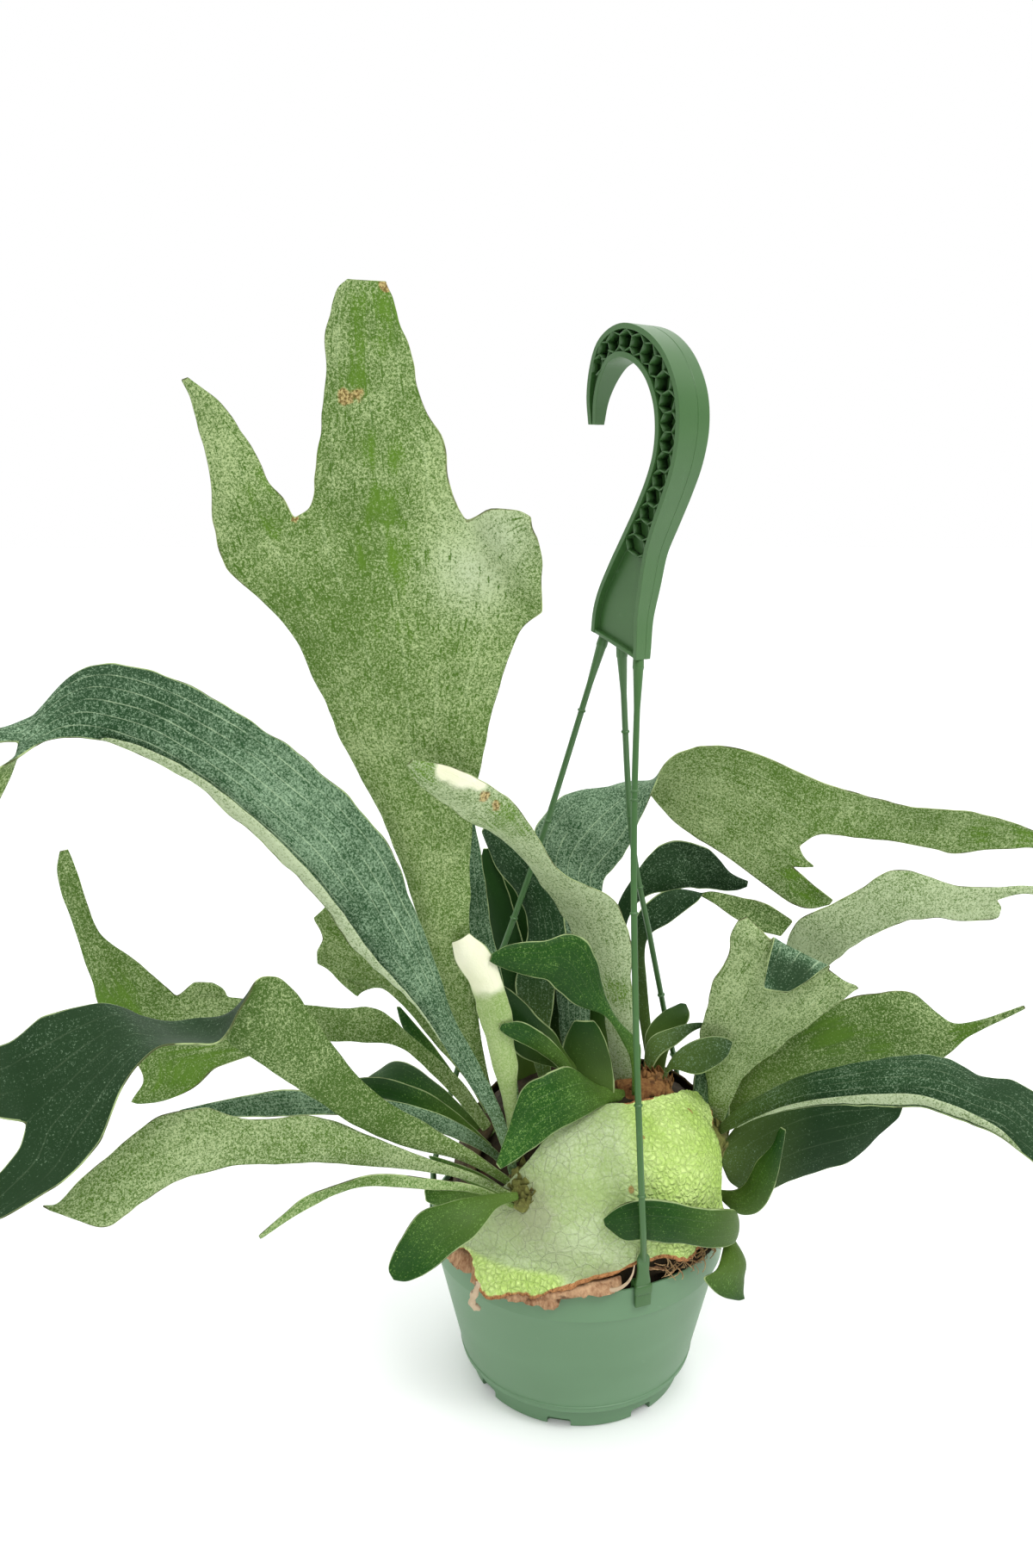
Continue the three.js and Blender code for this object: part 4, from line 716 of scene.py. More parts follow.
def leaf_skin(name, look, base, shade, felt, cover, deep=0.5, vein_tone=0.3, margin=None, rough=0.6):
    """Leathery leaf: green flesh under silvery star hairs, with fine veins that run along it."""
    paint = Paint(name)
    across, along = paint.blade()
    run = paint.node("CombineXYZ", None, {0: across * 16.0, 1: along * 24.0})
    streak = paint.noise(1.0, 3.0, 0.6, run)
    grain = paint.noise(1000.0, 2.0, 0.65)
    dust = paint.noise(2100.0, 1.0)
    patch = paint.noise(70.0, 4.0, 0.6)
    cloud = paint.noise(12.0, 2.0)
    wander = (paint.noise(22.0, 2.0) - 0.5) * 0.5 + (streak - 0.5) * 0.2
    line = abs((across * 6.0 + wander).fraction() - 0.5) * 2.0
    # dark is partly the leaf's own darker tone and partly painted shade on leaves at the back and deep in
    # the crown; it darkens the flesh and thins the felt
    dark = paint.attribute("dark")
    shaded = dark.step(0.0, 1.0)
    # silvery: more and paler felt where dark is below 0; the leaf's own felt, and painted light on the pale
    # spots
    silvery = (dark * -1.0).step(0.0, 1.0)
    vein = line.step(0.88, 1.0) * (streak + patch - 0.5).step(0.25, 0.6) * (1.0 - shaded * 0.9)
    rub = (paint.attribute("rub") + (streak - 0.5) * 2.2 + (patch - 0.5) * 0.8).step(0.35, 0.95)
    bare = rub * paint.attribute("rub").step(0.0, 0.15)
    flesh = paint.mix((patch * 0.5 + cloud * 0.9 - 0.2).step(0.2, 0.8), base, shade)
    flesh = paint.mix(bare * 0.7, flesh, look.bare)
    # painted shade in part: the flesh darkened towards near-black green where dark is above 0
    flesh = paint.mix(shaded * deep, flesh, srgb(16, 44, 10))
    flesh = paint.mix(paint.attribute("stem") * 0.5, flesh, srgb(112, 138, 58))
    short_run = paint.node("CombineXYZ", None, {0: across * 60.0, 1: along * 90.0})
    dash = paint.noise(1.0, 2.0, 0.5, short_run)
    amount = (grain - 0.5) * 1.5 + (dust - 0.5) * 1.1 + (patch - 0.5) * 0.45 + (cloud - 0.5) * 0.6
    amount = amount + (streak - 0.5) * 0.15 + vein * 0.1 + (cover - 0.5) - bare * 0.3
    amount = amount - dash.step(0.62, 0.7) * 0.4
    amount = amount - shaded * deep * 0.45 + silvery * 0.34
    hairs = amount.step(-0.36, 0.4)
    colour = paint.mix(hairs, flesh, paint.mix(silvery * 0.7, felt, srgb(186, 198, 170)))
    colour = paint.mix(vein * (1.0 - bare) * vein_tone, colour, srgb(186, 208, 168))
    bleach = (paint.attribute("bleach") + (patch - 0.5) * 0.5).step(0.2, 0.55)
    colour = paint.mix(bleach, colour, paint.mix(patch, srgb(244, 243, 222), srgb(222, 226, 184)))
    scar = (paint.attribute("scar") + (patch - 0.5) * 0.9).step(0.5, 0.62)
    brown = paint.mix(grain.step(0.4, 0.6), srgb(112, 80, 42), srgb(196, 170, 112))
    colour = paint.mix(scar * 0.8, colour, brown)
    edge = (paint.attribute("edge") + (patch - 0.5) * 0.3).step(0.78, 0.96)
    colour = paint.mix(edge * 0.65, colour, margin or srgb(170, 190, 134))
    height = hairs * 0.5 + vein * 0.6 + patch * 0.7 + grain * 0.5
    return paint.finish(colour, hairs * 0.25 + rough, height, 0.55, 0.45 * MM, shine=0.18)


def leaf_edge(name, colour):
    """The thin cut of a leaf's edge, pale or browned."""
    paint = Paint(name)
    patch = paint.noise(90.0, 3.0)
    tone = paint.mix(patch.step(0.42, 0.6), colour, srgb(70, 78, 44))
    return paint.finish(tone, 0.75, shine=0.2)


def shield_skin(name, settings):
    """Felted shield with a lime part in a net of veins, and a dry rim."""
    paint = Paint(name)
    lime = paint.attribute("lime")
    dry = paint.attribute("dry")
    grain = paint.noise(800.0, 3.0, 0.7)
    patch = paint.noise(38.0, 5.0, 0.62)
    cloud = paint.noise(16.0, 3.0)
    drift = paint.noise(60.0, 3.0) * 0.004
    bent = paint.node("VectorMath", {"operation": "ADD"}, {0: paint.place(), 1: drift})
    cells = paint.cells(1.0 / settings.cell, bent)
    broad = paint.cells(0.5 / settings.cell, bent)
    line = 1.0 - cells.step(0.0, 0.12)
    crease = (1.0 - broad.step(0.0, 0.05)) * (patch + grain * 0.4).step(0.4, 0.8)
    felted = paint.mix((patch + (grain - 0.5) * 0.9).step(0.25, 0.75), settings.felted, srgb(188, 204, 160))
    felted = paint.mix(cloud.step(0.42, 0.7) * 0.55, felted, srgb(150, 164, 116))
    felted = paint.mix(line * 0.16, felted, srgb(120, 140, 84))
    worn = (paint.attribute("stain") + (patch - 0.5) * 1.4).step(0.3, 1.0)
    felted = paint.mix(crease * (worn * 0.4 + 0.16), felted, srgb(210, 220, 184))
    felted = paint.mix(worn * 0.6, felted, srgb(138, 142, 112))
    fresh = paint.mix((patch + (grain - 0.5) * 0.4).step(0.3, 0.7), settings.lime, srgb(214, 238, 152))
    fresh = paint.mix(line * 0.48, fresh, srgb(138, 174, 68))
    share = (lime + (patch - 0.5) * 0.6 + (cloud - 0.5) * 0.5).step(0.12, 0.88)
    colour = paint.mix(share, felted, fresh)
    brown = paint.mix((grain + patch * 0.5).step(0.55, 0.85), settings.dry, srgb(184, 130, 82))
    colour = paint.mix((dry + (patch - 0.5) * 0.9).step(0.46, 0.6), colour, brown)
    scar = (paint.attribute("scar") + (patch - 0.5) * 0.9).step(0.5, 0.62)
    colour = paint.mix(scar * 0.8, colour, srgb(150, 116, 62))
    height = grain * 0.4 + patch * 1.3 + cells.step(0.0, 0.3) * (share * 1.5 + 0.5) + crease * 0.8
    return paint.finish(colour, 0.7, height, 0.75, 0.7 * MM, shine=0.25)


def dry_skin(name, dark, light, fibre=1.0):
    """Dry papery or fibrous matter: old shields, husks, scales and fringes."""
    paint = Paint(name)
    patch = paint.noise(55.0, 5.0, 0.7)
    grain = paint.noise(420.0, 3.0, 0.7, paint.stretched(1.0, 1.0, 0.25))
    colour = paint.mix((patch * 0.7 + grain * 0.5 * fibre).step(0.35, 0.8), dark, light)
    colour = paint.mix(paint.noise(160.0, 4.0).step(0.58, 0.68) * 0.7, colour, srgb(58, 36, 22))
    return paint.finish(colour, 0.92, grain + patch * 0.7, 0.8, 0.8 * MM, shine=0.2)


def soil_skin(name):
    """Dark bark and peat."""
    paint = Paint(name)
    crumb = paint.noise(320.0, 6.0, 0.75)
    colour = paint.mix(crumb.step(0.35, 0.75), srgb(20, 17, 11), srgb(56, 44, 27))
    return paint.finish(colour, 1.0, crumb, 1.0, 1.5 * MM, shine=0.1)


def plastic_skin(name, colour, light, rough):
    """Satin moulded plastic with faint flow marks, dust and a fine grain."""
    paint = Paint(name)
    grain = paint.noise(1500.0, 2.0)
    flow = paint.noise(9.0, 3.0, 0.5, paint.stretched(1.0, 1.0, 2.5))
    scuff = paint.noise(130.0, 5.0, 0.7).step(0.62, 0.8)
    tone = paint.mix(flow.step(0.35, 0.7) * 0.5, colour, light)
    tone = paint.mix(scuff * 0.12, tone, srgb(170, 196, 172))
    return paint.finish(tone, (grain - 0.5) * 0.12 + scuff * 0.1 + rough, grain, 0.08, 0.2 * MM)


# ---------------------------------------------------------------- mesh helpers


def smooth(values, position):
    """A number or vector on a smooth line through values, at a position counted in values."""
    last = len(values) - 1
    i = min(int(position), last - 1)
    t = position - i

    def tangent(k):
        step = values[min(k + 1, last)] - values[max(k - 1, 0)]
        return step * (0.5 if 0 < k < last else 1.0)

    return (
        values[i] * (2 * t**3 - 3 * t**2 + 1)
        + tangent(i) * (t**3 - 2 * t**2 + t)
        + values[i + 1] * (3 * t**2 - 2 * t**3)
        + tangent(i + 1) * (t**3 - t**2)
    )


def curve(points, steps):
    """Points in metres on the smooth line through points in millimetres, with steps to a span."""
    values = [Vector(point) for point in points]
    return [smooth(values, k / steps) * MM for k in range(steps * (len(points) - 1) + 1)]


def sheet(bm, columns, rows, place, across=lambda u, v: (u, v), **layers):
    """A grid of columns by rows, each point moved to place(u, v), with numbers kept in layers.

    across gives the place on the blade's UV map, and each layer a number from u, v and the point.
    """
    blade = bm.loops.layers.uv.get("blade") or bm.loops.layers.uv.new("blade")
    kept = {name: bm.verts.layers.float.get(name) or bm.verts.layers.float.new(name) for name in layers}
    grid = bmesh.ops.create_grid(bm, x_segments=columns, y_segments=rows, size=0.5)["verts"]
    where = {v: (v.co.x + 0.5, v.co.y + 0.5) for v in grid}
    faces = {f for v in grid for f in v.link_faces}
    for face in faces:
        for loop in face.loops:
            loop[blade].uv = across(*where[loop.vert])
    for vert, (u, v) in where.items():
        vert.co = place(u, v)
    for name, layer in kept.items():
        for vert, (u, v) in where.items():
            vert[layer] = layers[name](u, v, vert.co)
    return grid, faces


def close_ends(bm, grid, faces):
    """Joins the long edges of a rolled sheet and closes its two ends."""
    bmesh.ops.remove_doubles(bm, verts=grid, dist=1e-6)
    rim = {e for f in faces if f.is_valid for e in f.edges if e.is_boundary}
    bmesh.ops.holes_fill(bm, edges=list(rim), sides=0)


def tube(bm, points, radii, sides):
    """A round cord along points, closed at both ends."""
    last = len(points) - 1
    ways = [(points[min(k + 1, last)] - points[max(k - 1, 0)]).normalized() for k in range(last + 1)]

    def place(u, v):
        k = round(v * last)
        first = Vector((0, 1, 0)).cross(ways[k]).normalized()
        second = ways[k].cross(first)
        angle = 2 * math.pi * u
        return points[k] + radii[k] * (first * math.cos(angle) + second * math.sin(angle))

    close_ends(bm, *sheet(bm, sides, last, place))


def slab(bm, corners, matrix=Matrix(), round_by=0.0, segments=2):
    """A block between two corners, with rounded edges, moved by a matrix."""
    low, high = Vector(corners[0]), Vector(corners[1])
    made = bmesh.ops.create_cube(bm, size=1.0)
    bmesh.ops.scale(bm, vec=high - low, verts=made["verts"])
    bmesh.ops.translate(bm, vec=(low + high) / 2, verts=made["verts"])
    bmesh.ops.transform(bm, matrix=matrix, verts=made["verts"])
    if round_by:
        edges = list({e for v in made["verts"] for e in v.link_edges})
        bmesh.ops.bevel(
            bm, geom=edges, offset=round_by, affect="EDGES", segments=segments, profile=0.5, material=-1
        )


def piece(name, bm, materials, nodes=(), modifiers=(), weights=None, outward=True):
    """A finished object that rides on the part and stands for the nodes it replaces."""
    if outward:
        bmesh.ops.recalc_face_normals(bm, faces=bm.faces)
    for face in bm.faces:
        face.smooth = True
    mesh = bpy.data.meshes.new(name)
    bm.to_mesh(mesh)
    bm.free()
    for material in materials:
        mesh.materials.append(material)
    made = bpy.data.objects.new(name, mesh)
    bpy.context.scene.collection.objects.link(made)
    if weights:
        group = made.vertex_groups.new(name=weights)
        for vert, number in zip(mesh.vertices, mesh.attributes[weights + "_at"].data):
            group.add([vert.index], number.value, "REPLACE")
    for kind, settings in modifiers:
        modifier = made.modifiers.new(kind.title(), kind)
        for key, value in settings.items():
            setattr(modifier, key, value)
    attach(made, "root")
    if nodes:
        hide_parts(*nodes)
    return made


# ---------------------------------------------------------------- leaves

# Leaves deep in the crown, in the same form as FRONDS. They fill the gaps between the fronds and are mostly
# dark, partly as painted shade.
BACKING = {
    "backing_left": {
        "skin": "grey", "cup": -0.12, "wave": 0,
        "rows": [
            (-13.9, 30, 133.3, -7.3, 30, 133.5), (-17.8, 30, 159, -6.6, 30, 159.3),
            (-18.9, 30, 185.3, -5.5, 30, 186.6), (-16.3, 30, 210.8, -3.5, 30, 212),
            (-8.7, 30, 231.1, -1.1, 30, 232.2),
        ],
    },
    "backing_right": {
        "cup": -0.12, "wave": 0,
        "rows": [
            (4.7, 24, 141, 15.7, 24, 141.3), (3.5, 24, 163.9, 17.2, 24, 164.3),
            (4.1, 24, 185.6, 16.8, 24, 186.8), (6.6, 24, 204, 11.6, 24, 206.1),
        ],
    },
    "backing_low": {
        "wave": 0.3,
        "rows": [
            (-4.9, -20, 148.4, 12.2, -20, 148.9), (-10.2, -20, 161.3, 18, -20, 164),
            (-9.4, -20, 177.1, 16.8, -20, 178.8), (-7, -20, 191.9, 13.2, -20, 192.4),
            (-2.1, -20, 202, 7.2, -20, 202.2),
        ],
    },
    "backing_gap": {
        "wave": 0.3,
        "rows": [
            (-37, 20, 145, -21, 20, 145), (-39, 20, 168, -21, 20, 172), (-42, 20, 195, -24, 20, 199),
            (-46, 20, 221, -30, 20, 228), (-50, 20, 247, -36, 20, 251), (-52, 20, 265, -43, 20, 268),
            (-50, 20, 277, -47, 20, 277),
        ],
    },
    "backing_fold": {
        "skin": "grey", "wave": 0.3,
        "rows": [
            (64, 14, 110, 77, 14, 110), (58, 14, 132, 79, 14, 132), (60, 14, 154, 80, 14, 157),
            (66, 14, 181, 80, 14, 183), (73, 14, 200, 77, 14, 200),
        ],
    },
}

# How single leaves look: dark from -1, silvery, to 1, which is partly the leaf's own tone and partly
# painted shade on leaves at the back and deep in the crown; torn is how ragged the edges are. Spots are
# x, y, z and radius: rub is worn felt, bleach is cream, scar is brown, shade adds dark, and pale is
# painted light where a lobe catches more light. A curl is an edge that is turned over: which edge,
# how much of the width, and where it starts and ends along the leaf.
# A bump is a tooth of an edge: x, y, z, radius and how far it stands out.
LOOKS = {
    "tall_antler": {
        # pale spots: painted light, the right lobe near the fork made paler and more silvery where it
        # catches more light
        "torn": 1.8, "smooth_below": 400, "dark": 0.25, "pale": [(-34, -67, 436, 32), (-47, -63, 420, 28)],
        "bumps": [(-60, -62, 473, 9, 3.2), (-55, -62, 449, 8, 3.6), (-108, -61, 463, 7, 1.6)],
        "rub": [
            (-83, -65, 522, 12), (-85, -64, 512, 10), (-91, -63, 497, 9), (-90, -62, 470, 10),
            (-80, -61, 466, 8), (-82, -61, 446, 11), (-79, -61, 424, 14), (-80, -61, 396, 8),
            (-138, -66, 453, 9), (-130, -66, 440, 7), (-66, -55, 330, 6), (-112, -64, 470, 6),
        ],
        "scar": [(-98, -62, 490, 7), (-92, -62, 491, 6), (-121, -62, 441, 3), (-80, -67, 532, 4)],
    },
    "torn_pale_curl": {
        "torn": 1.3, "dark": -0.6,
        "bleach": [(-57, -79, 339, 4.5), (-50, -76, 336, 6), (-44, -73, 333, 4)],
        "scar": [(-43, -69, 327, 5), (-38, -66, 322, 5)],
        "rub": [(-66, -82, 340, 12), (-33, -62, 316, 14), (-26, -55, 306, 10), (20, -14, 215, 12)],
    },
    "bleached_stub": {"torn": 2.2, "bleach": [(-48, -57, 250, 17), (-42, -56, 243, 13)]},
    "long_arch": {"dark": 0.1, "curl": ("left", 0.13, 0.25, 0.8)},
    "left_dark_twist": {"dark": 1.0},
    "left_back_fork": {"dark": 0.45, "rub": [(-180, -60, 184, 26), (-221, -49, 218, 16)]},
    "left_low_pale": {"dark": -0.3},
    "left_mid_grey": {"dark": 0.2},
    "right_arch": {
        "dark": -0.15,
        "rub": [(205, 37, 284, 9), (224, 33, 282, 9), (112, 47, 258, 9), (120, 45, 248, 8)],
    },
    "right_fold": {"dark": -0.3, "torn": 1.6, "shade": [(102, -24, 227, 13), (95, -22, 233, 10)]},
    "right_mid_pale": {"dark": -0.6},
    "right_low_green": {"dark": 0.8, "rub": [(127, 7, 185, 13), (150, 2, 185, 9), (190, -12, 197, 10)]},
    "right_dark": {"dark": 0.6, "curl": ("right", 0.13, 0.06, 0.97)},
    "right_dark_low": {"dark": 1.0},
    # The high dark values of the leaves at the back and in the crown are partly painted shade.
    "back_right_dark": {"dark": 1.0},
    "back_right_twist": {"dark": 0.9},
    "centre_dark_tall": {"dark": 0.7},
    "centre_dark_back": {"dark": 1.0},
    "behind_tall_dark": {"dark": 0.3, "skin": "grey"},
    "crown_leaf_dark": {"dark": 1.0},
    "crown_leaf_grey": {"dark": 1.0},
    "crown_leaf_oval": {"dark": 1.0},
    "left_mid_hump": {"dark": 0.5},
    "left_mid_low": {"dark": 0.5},
    "centre_dark_small": {"dark": 0.9},
    "pup_upright": {"dark": 0.3, "scar": [(101, -19, 112, 4)]},
    "pup_front": {"dark": 0.35},
    "pup_down": {"dark": 0.4, "scar": [(68, -47, 91, 5)]},
    # The backing leaves are dark partly as painted shade deep in the crown.
    "backing_left": {"dark": 0.9},
    "backing_right": {"dark": 0.8},
    "backing_gap": {"dark": 0.9},
    "backing_fold": {"dark": 0.2},
    "backing_low": {"dark": 0.9},
    "front_left_small": {"dark": 0.3},
}


def pair(row):
    """The left and the right point of a row, in metres."""
    return Vector(row[:3]) * MM, Vector(row[3:]) * MM


def ruled(ends):
    """The straight line between two points, from 0 to 1."""
    return lambda u: ends[0].lerp(ends[1], u)


def broken_line(points, shares, u):
    """A point on a broken line whose spans take up shares of the way from 0 to 1."""
    at = u * sum(shares)
    for k, share in enumerate(shares):
        if at <= share or k == len(shares) - 1:
            return points[k].lerp(points[k + 1], min(at / share, 1.0))
        at -= share
    return points[-1]


def strip_surface(frond, stations, look, joins_start=False, joins_end=False):
    """The cupped, waved and ragged surface of a strip, as a function of u across and v along."""
    last = len(stations) - 1
    fine = last * (1 if len(frond["rows"]) >= BLADE["close_rows"] else BLADE["steps"])
    known = {}

    def line(u, at):
        if u not in known:
            known[u] = [station(u) for station in stations]
        return smooth(known[u], min(max(at, 0.0), last))

    def place(u, v, raised=0.0):
        at = v * last
        left = line(0.0, at)
        across = line(1.0, at) - left
        ahead = line(0.0, at + last / fine) - line(0.0, at - last / fine)
        upper = across.cross(ahead).normalized()
        fade = (1 - (1 - v) ** 6 if joins_start else 1.0) * (1 - v**6 if joins_end else 1.0)
        side = 2 * u - 1
        cup = -frond["cup"] * across.length * (1 - side**2)
        wave = frond["wave"] * MM * side * math.sin((fine + 1) * 0.9 * v + 1)
        point = line(u, at)
        broad = min(1.0, across.length / 0.03)
        ripple = noise.noise(point * 70) * 0.9 * MM * broad
        ragged = noise.noise(point * 48) * 1.7 + noise.noise(point * 150) * 1.2
        calm = look.get("smooth_below", -100) * MM
        ragged *= look.get("torn", 1.0) * MM * broad * side * abs(side) ** 3
        ragged *= 0.25 + 0.75 * ease(point.z, calm, calm + 0.03)
        for *spot, radius, out in look.get("bumps", []):
            near = 1 - (point - Vector(spot) * MM).length / (radius * MM)
            ragged += out * MM * max(0.0, near) ** 0.6 * side**5
        return point + (upper * (cup + wave + ripple + raised) + across.normalized() * ragged) * fade

    return place


def turned_edge(bm, place, curl, count):
    """A narrow lip that lies over the upper side along one edge, so that its under side shows."""
    edge, share, first, last = curl
    base = 0.0 if edge == "left" else 1.0

    def lip(u, v):
        along = first + (last - first) * v
        wide = share * math.sin(math.pi * v) ** 0.5
        reach = u if edge == "right" else 1 - u
        inward = 0.01 + reach * wide
        return place(abs(base - inward), along, (2.0 + 2.4 * math.sin(math.pi * reach * 0.7)) * MM)

    sheet(bm, 5, count, lip, thick_at=lambda u, v, co: 0.2, dark=lambda u, v, co: -0.8)


def spotted(spots):
    """How near a point is to the middle of a spot, from 0 to 1, as a layer of a sheet."""

    def amount(u, v, co):
        near = [1 - (co - Vector(spot[:3]) * MM).length / (spot[3] * MM * 1.6) for spot in spots]
        return max([0.0, *near])

    return amount


def frond_piece(name, frond, skins, spacing):
    """A leaf: a strip from root to tip, or up to a fork with a strip for each lobe beyond it."""
    rows = [pair(row) for row in frond["rows"]]
    look = LOOKS.get(name, {})
    shares = frond["split"]
    total = sum(shares)
    frond_width = max((right - left).length for left, right in rows)
    bm = bmesh.new()
    shade, pale, rub, bleach, scar = (
        spotted(look.get(kind, [])) for kind in ("shade", "pale", "rub", "bleach", "scar")
    )

    def add(stations, part, halves, place, joined=False):
        start, share = part
        length = sum((b(0.5) - a(0.5)).length for a, b in zip(stations, stations[1:]))
        columns = share * max(2, round(frond_width / total / spacing))
        count = max(4, round(length / spacing))

        def thick(u, v, co):
            along = halves[0] + (halves[1] - halves[0]) * v**0.5
            return along / BLADE["stem"] * (1 - 0.5 * abs(2 * u - 1) ** 5)

        def margin(u, v, co):
            tip = v == 1 if joined else v > 0.999 and "lobes" not in frond
            return float(u in (0, 1) or tip)

        sheet(
            bm, columns, count, place,
            across=lambda u, v: ((start + u * share) / total, v * length), thick_at=thick,
            stem=lambda u, v, co: 0.0 if joined else max(0.0, 1 - v * length / 0.05),
            # dark per point: the leaf's own tone and, deep in the crown, painted shade; shade spots add to
            # it, and pale spots, painted light, take from it
            dark=lambda u, v, co: look.get("dark", 0.0) + 2 * shade(u, v, co) - pale(u, v, co),
            edge=margin, rub=rub, bleach=bleach, scar=scar,
        )
        if "curl" in look and not joined:
            turned_edge(bm, place, look["curl"], count)

    plain = [ruled(ends) for ends in rows]
    if "fork" in frond:
        flat = frond["fork"]
        fork = [Vector(flat[i : i + 3]) * MM for i in range(0, len(flat), 3)]
        frond_width = max(frond_width, sum((b - a).length for a, b in zip(fork, fork[1:])))
        plain.append(lambda u: broken_line(fork, shares, u))
        place = strip_surface(frond, plain, look, joins_end=True)
        add(plain, (0, total), (BLADE["stem"], BLADE["middle"]), place)
        for k, lobe in enumerate(frond["lobes"]):
            ends = [(fork[k], fork[k + 1]), *map(pair, lobe)]
            stations = [ruled(two) for two in ends]
            place = strip_surface(frond, stations, look, joins_start=True)
            part = (sum(shares[:k]), shares[k])
            add(stations, part, (BLADE["middle"], BLADE["tip"]), place, joined=True)
    else:
        add(plain, (0, total), (BLADE["stem"], BLADE["tip"]), strip_surface(frond, plain, look))
    bmesh.ops.remove_doubles(bm, verts=bm.verts, dist=0.02 * MM)
    solid = {
        "thickness": BLADE["stem"] * MM, "offset": 0.0, "vertex_group": "thick",
        "material_offset": 1, "material_offset_rim": 2,
    }
    modifiers = [("SOLIDIFY", solid), ("SUBSURF", {"levels": 1, "render_levels": 1})]
    nodes = [name] if name in FRONDS else []
    skin = skins[look.get("skin", frond["skin"])]
    return piece(f"leaf_{name}", bm, skin, nodes, modifiers, "thick", outward=False)


# ---------------------------------------------------------------- root ball, shields and crowns


def ease(value, low, high):
    """0 at low and 1 at high, and smooth between them."""
    t = min(1.0, max(0.0, (value - low) / (high - low)))
    return t * t * (3 - 2 * t)


def ball_radius(ray):
    """How far the root ball reaches along a ray from its middle, in millimetres."""
    parts = (ray.x / BALL["radii"][0], ray.y / BALL["radii"][1], ray.z / BALL["radii"][2])
    return sum(abs(part) ** BALL["squareness"] for part in parts) ** (-1 / BALL["squareness"])


def ball_point(around, up, lift=0.0):
    """A point on the root ball by degrees round it and degrees up, in metres."""
    a, e = math.radians(around), math.radians(up)
    ray = Vector((math.cos(e) * math.cos(a), math.cos(e) * math.sin(a), math.sin(e)))
    return (Vector(BALL["centre"]) + ray * (ball_radius(ray) + lift)) * MM


def shield_point(around, up, lift):
    """A point of the front shield, whose lower part swings out over the pot's rim."""
    point = ball_point(around, up, lift)
    drop = max(0.0, (10 - up) / 21)
    a = math.radians(around)
    out = 14 * drop**1.3
    rise = 11 * math.sin(2.2 * drop) * ease(drop, -0.3, 0.55)
    return point + Vector((out * math.cos(a), out * math.sin(a), rise)) * MM


def net_of(point, cell):
    """Ridges of a net of cells: 1 on the lines between the cells, 0 inside them."""
    near, _ = noise.voronoi(point / cell)
    return 1 - ease(near[1] - near[0], 0.05, 0.4)


def slim(point):
    """Draws in the right cheek of the root ball, which the frame holds a little fuller."""
    cheek = ease(point.x, 0.030, 0.084) * (1 - ease(point.y, 0.016, 0.06))
    height = ease(point.z, 0.086, 0.1) * (1 - 0.55 * ease(point.z, 0.11, 0.145))
    return point - Vector((0.012, 0, 0)) * cheek * height


def make_room(point, reach, deep):
    """Presses a point in behind the front clip, reach to each side and down to deep from the axis."""
    a = math.radians(STRANDS["strand_front"]["around"])
    out = Vector((math.cos(a), math.sin(a), 0))
    beside = abs(point.x * out.y - point.y * out.x)
    radial = point.x * out.x + point.y * out.y
    near = 1 - ease(beside, 5 * MM, reach * MM)
    near *= 1 - ease(point.z, 0.118, 0.135)
    excess = radial - deep * MM
    return point - out * (max(0.0, excess) * near)


def shield_front_piece(settings, skin):
    """The big rounded shield, with a net of low cells where it is fresh and a ragged lower edge."""
    spec = SHIELDS["shield_front"]
    columns = [Vector(column) for column in spec["columns"]]
    last = len(columns) - 1

    def where(u, v):
        around, low, high = smooth(columns, u * last)
        t = 1 - v
        ragged = noise.noise(Vector((around * 0.09, 3.1, 0))) * 2.4
        ragged += noise.noise(Vector((around * 0.4, 7, 0)))
        low += 3.2 * ease(around, -150, -140) * ease(around, -66, -76)
        return around, high + (low - high) * t + ragged * t**5, t

    def lime_at(around, up):
        fresh = ease(around, -96, -44) * ease(up, 84, 62)
        foot = ease(up, 5, -3) * ease(around, -152, -144) * ease(around, -98, -106)
        return max(fresh, foot)

    def place(u, v):
        around, up, t = where(u, v)
        smooth_point = ball_point(around, up)
        relief = noise.noise(smooth_point * 34) * 1.7 + noise.noise(smooth_point * 120) * 0.5
        relief += (0.6 - 0.5 * net_of(smooth_point, settings.cell)) * lime_at(around, up)
        relief -= 1.3 * math.exp(-(((around + 71) / 5) ** 2)) * ease(up, 12, 24) * ease(up, 52, 38)
        relief += spec["ripple"] * math.sin(u * last * 1.9 + 1) * t**6
        point = shield_point(around, up, spec["lift"] + relief)
        return make_room(slim(point), 16, 73.6)

    def lime(u, v, co):
        around, up, _ = where(u, v)
        return lime_at(around, up)

    def dry(u, v, co):
        around, up, t = where(u, v)
        edge = ease(t, 0.955, 0.995) * (ease(around, -108, -96) * 0.6 + 0.62)
        top = ease(v, 0.975, 1.0) * ease(around, -70, -60) * ease(around, -28, -36)
        return max(edge * ease(around, 20, -10), top, ease(around, 24, 34) * 0.7)

    def stain(u, v, co):
        around, up, _ = where(u, v)
        near_crown = math.exp(-(((around + 118) / 14) ** 2) - ((up - 28) / 16) ** 2)
        low = math.exp(-(((around + 88) / 16) ** 2) - ((up - 4) / 8) ** 2)
        return near_crown + 0.9 * low

    def scar(u, v, co):
        around, up, _ = where(u, v)
        spots = ((-75.5, 38, 2.2), (-63, 54, 1.4), (-18, 52, 2.5), (-12, 20, 2))
        return max(1 - math.hypot(around - a, up - b) / (1.6 * r) for a, b, r in spots)

    bm = bmesh.new()
    sheet(bm, 290, 118, place, lime=lime, dry=dry, stain=stain, scar=scar)
    solid = ("SOLIDIFY", {"thickness": 1.5 * MM, "offset": -0.2})
    return piece("shield_front_skin", bm, [skin], ["shield_front"], [solid])


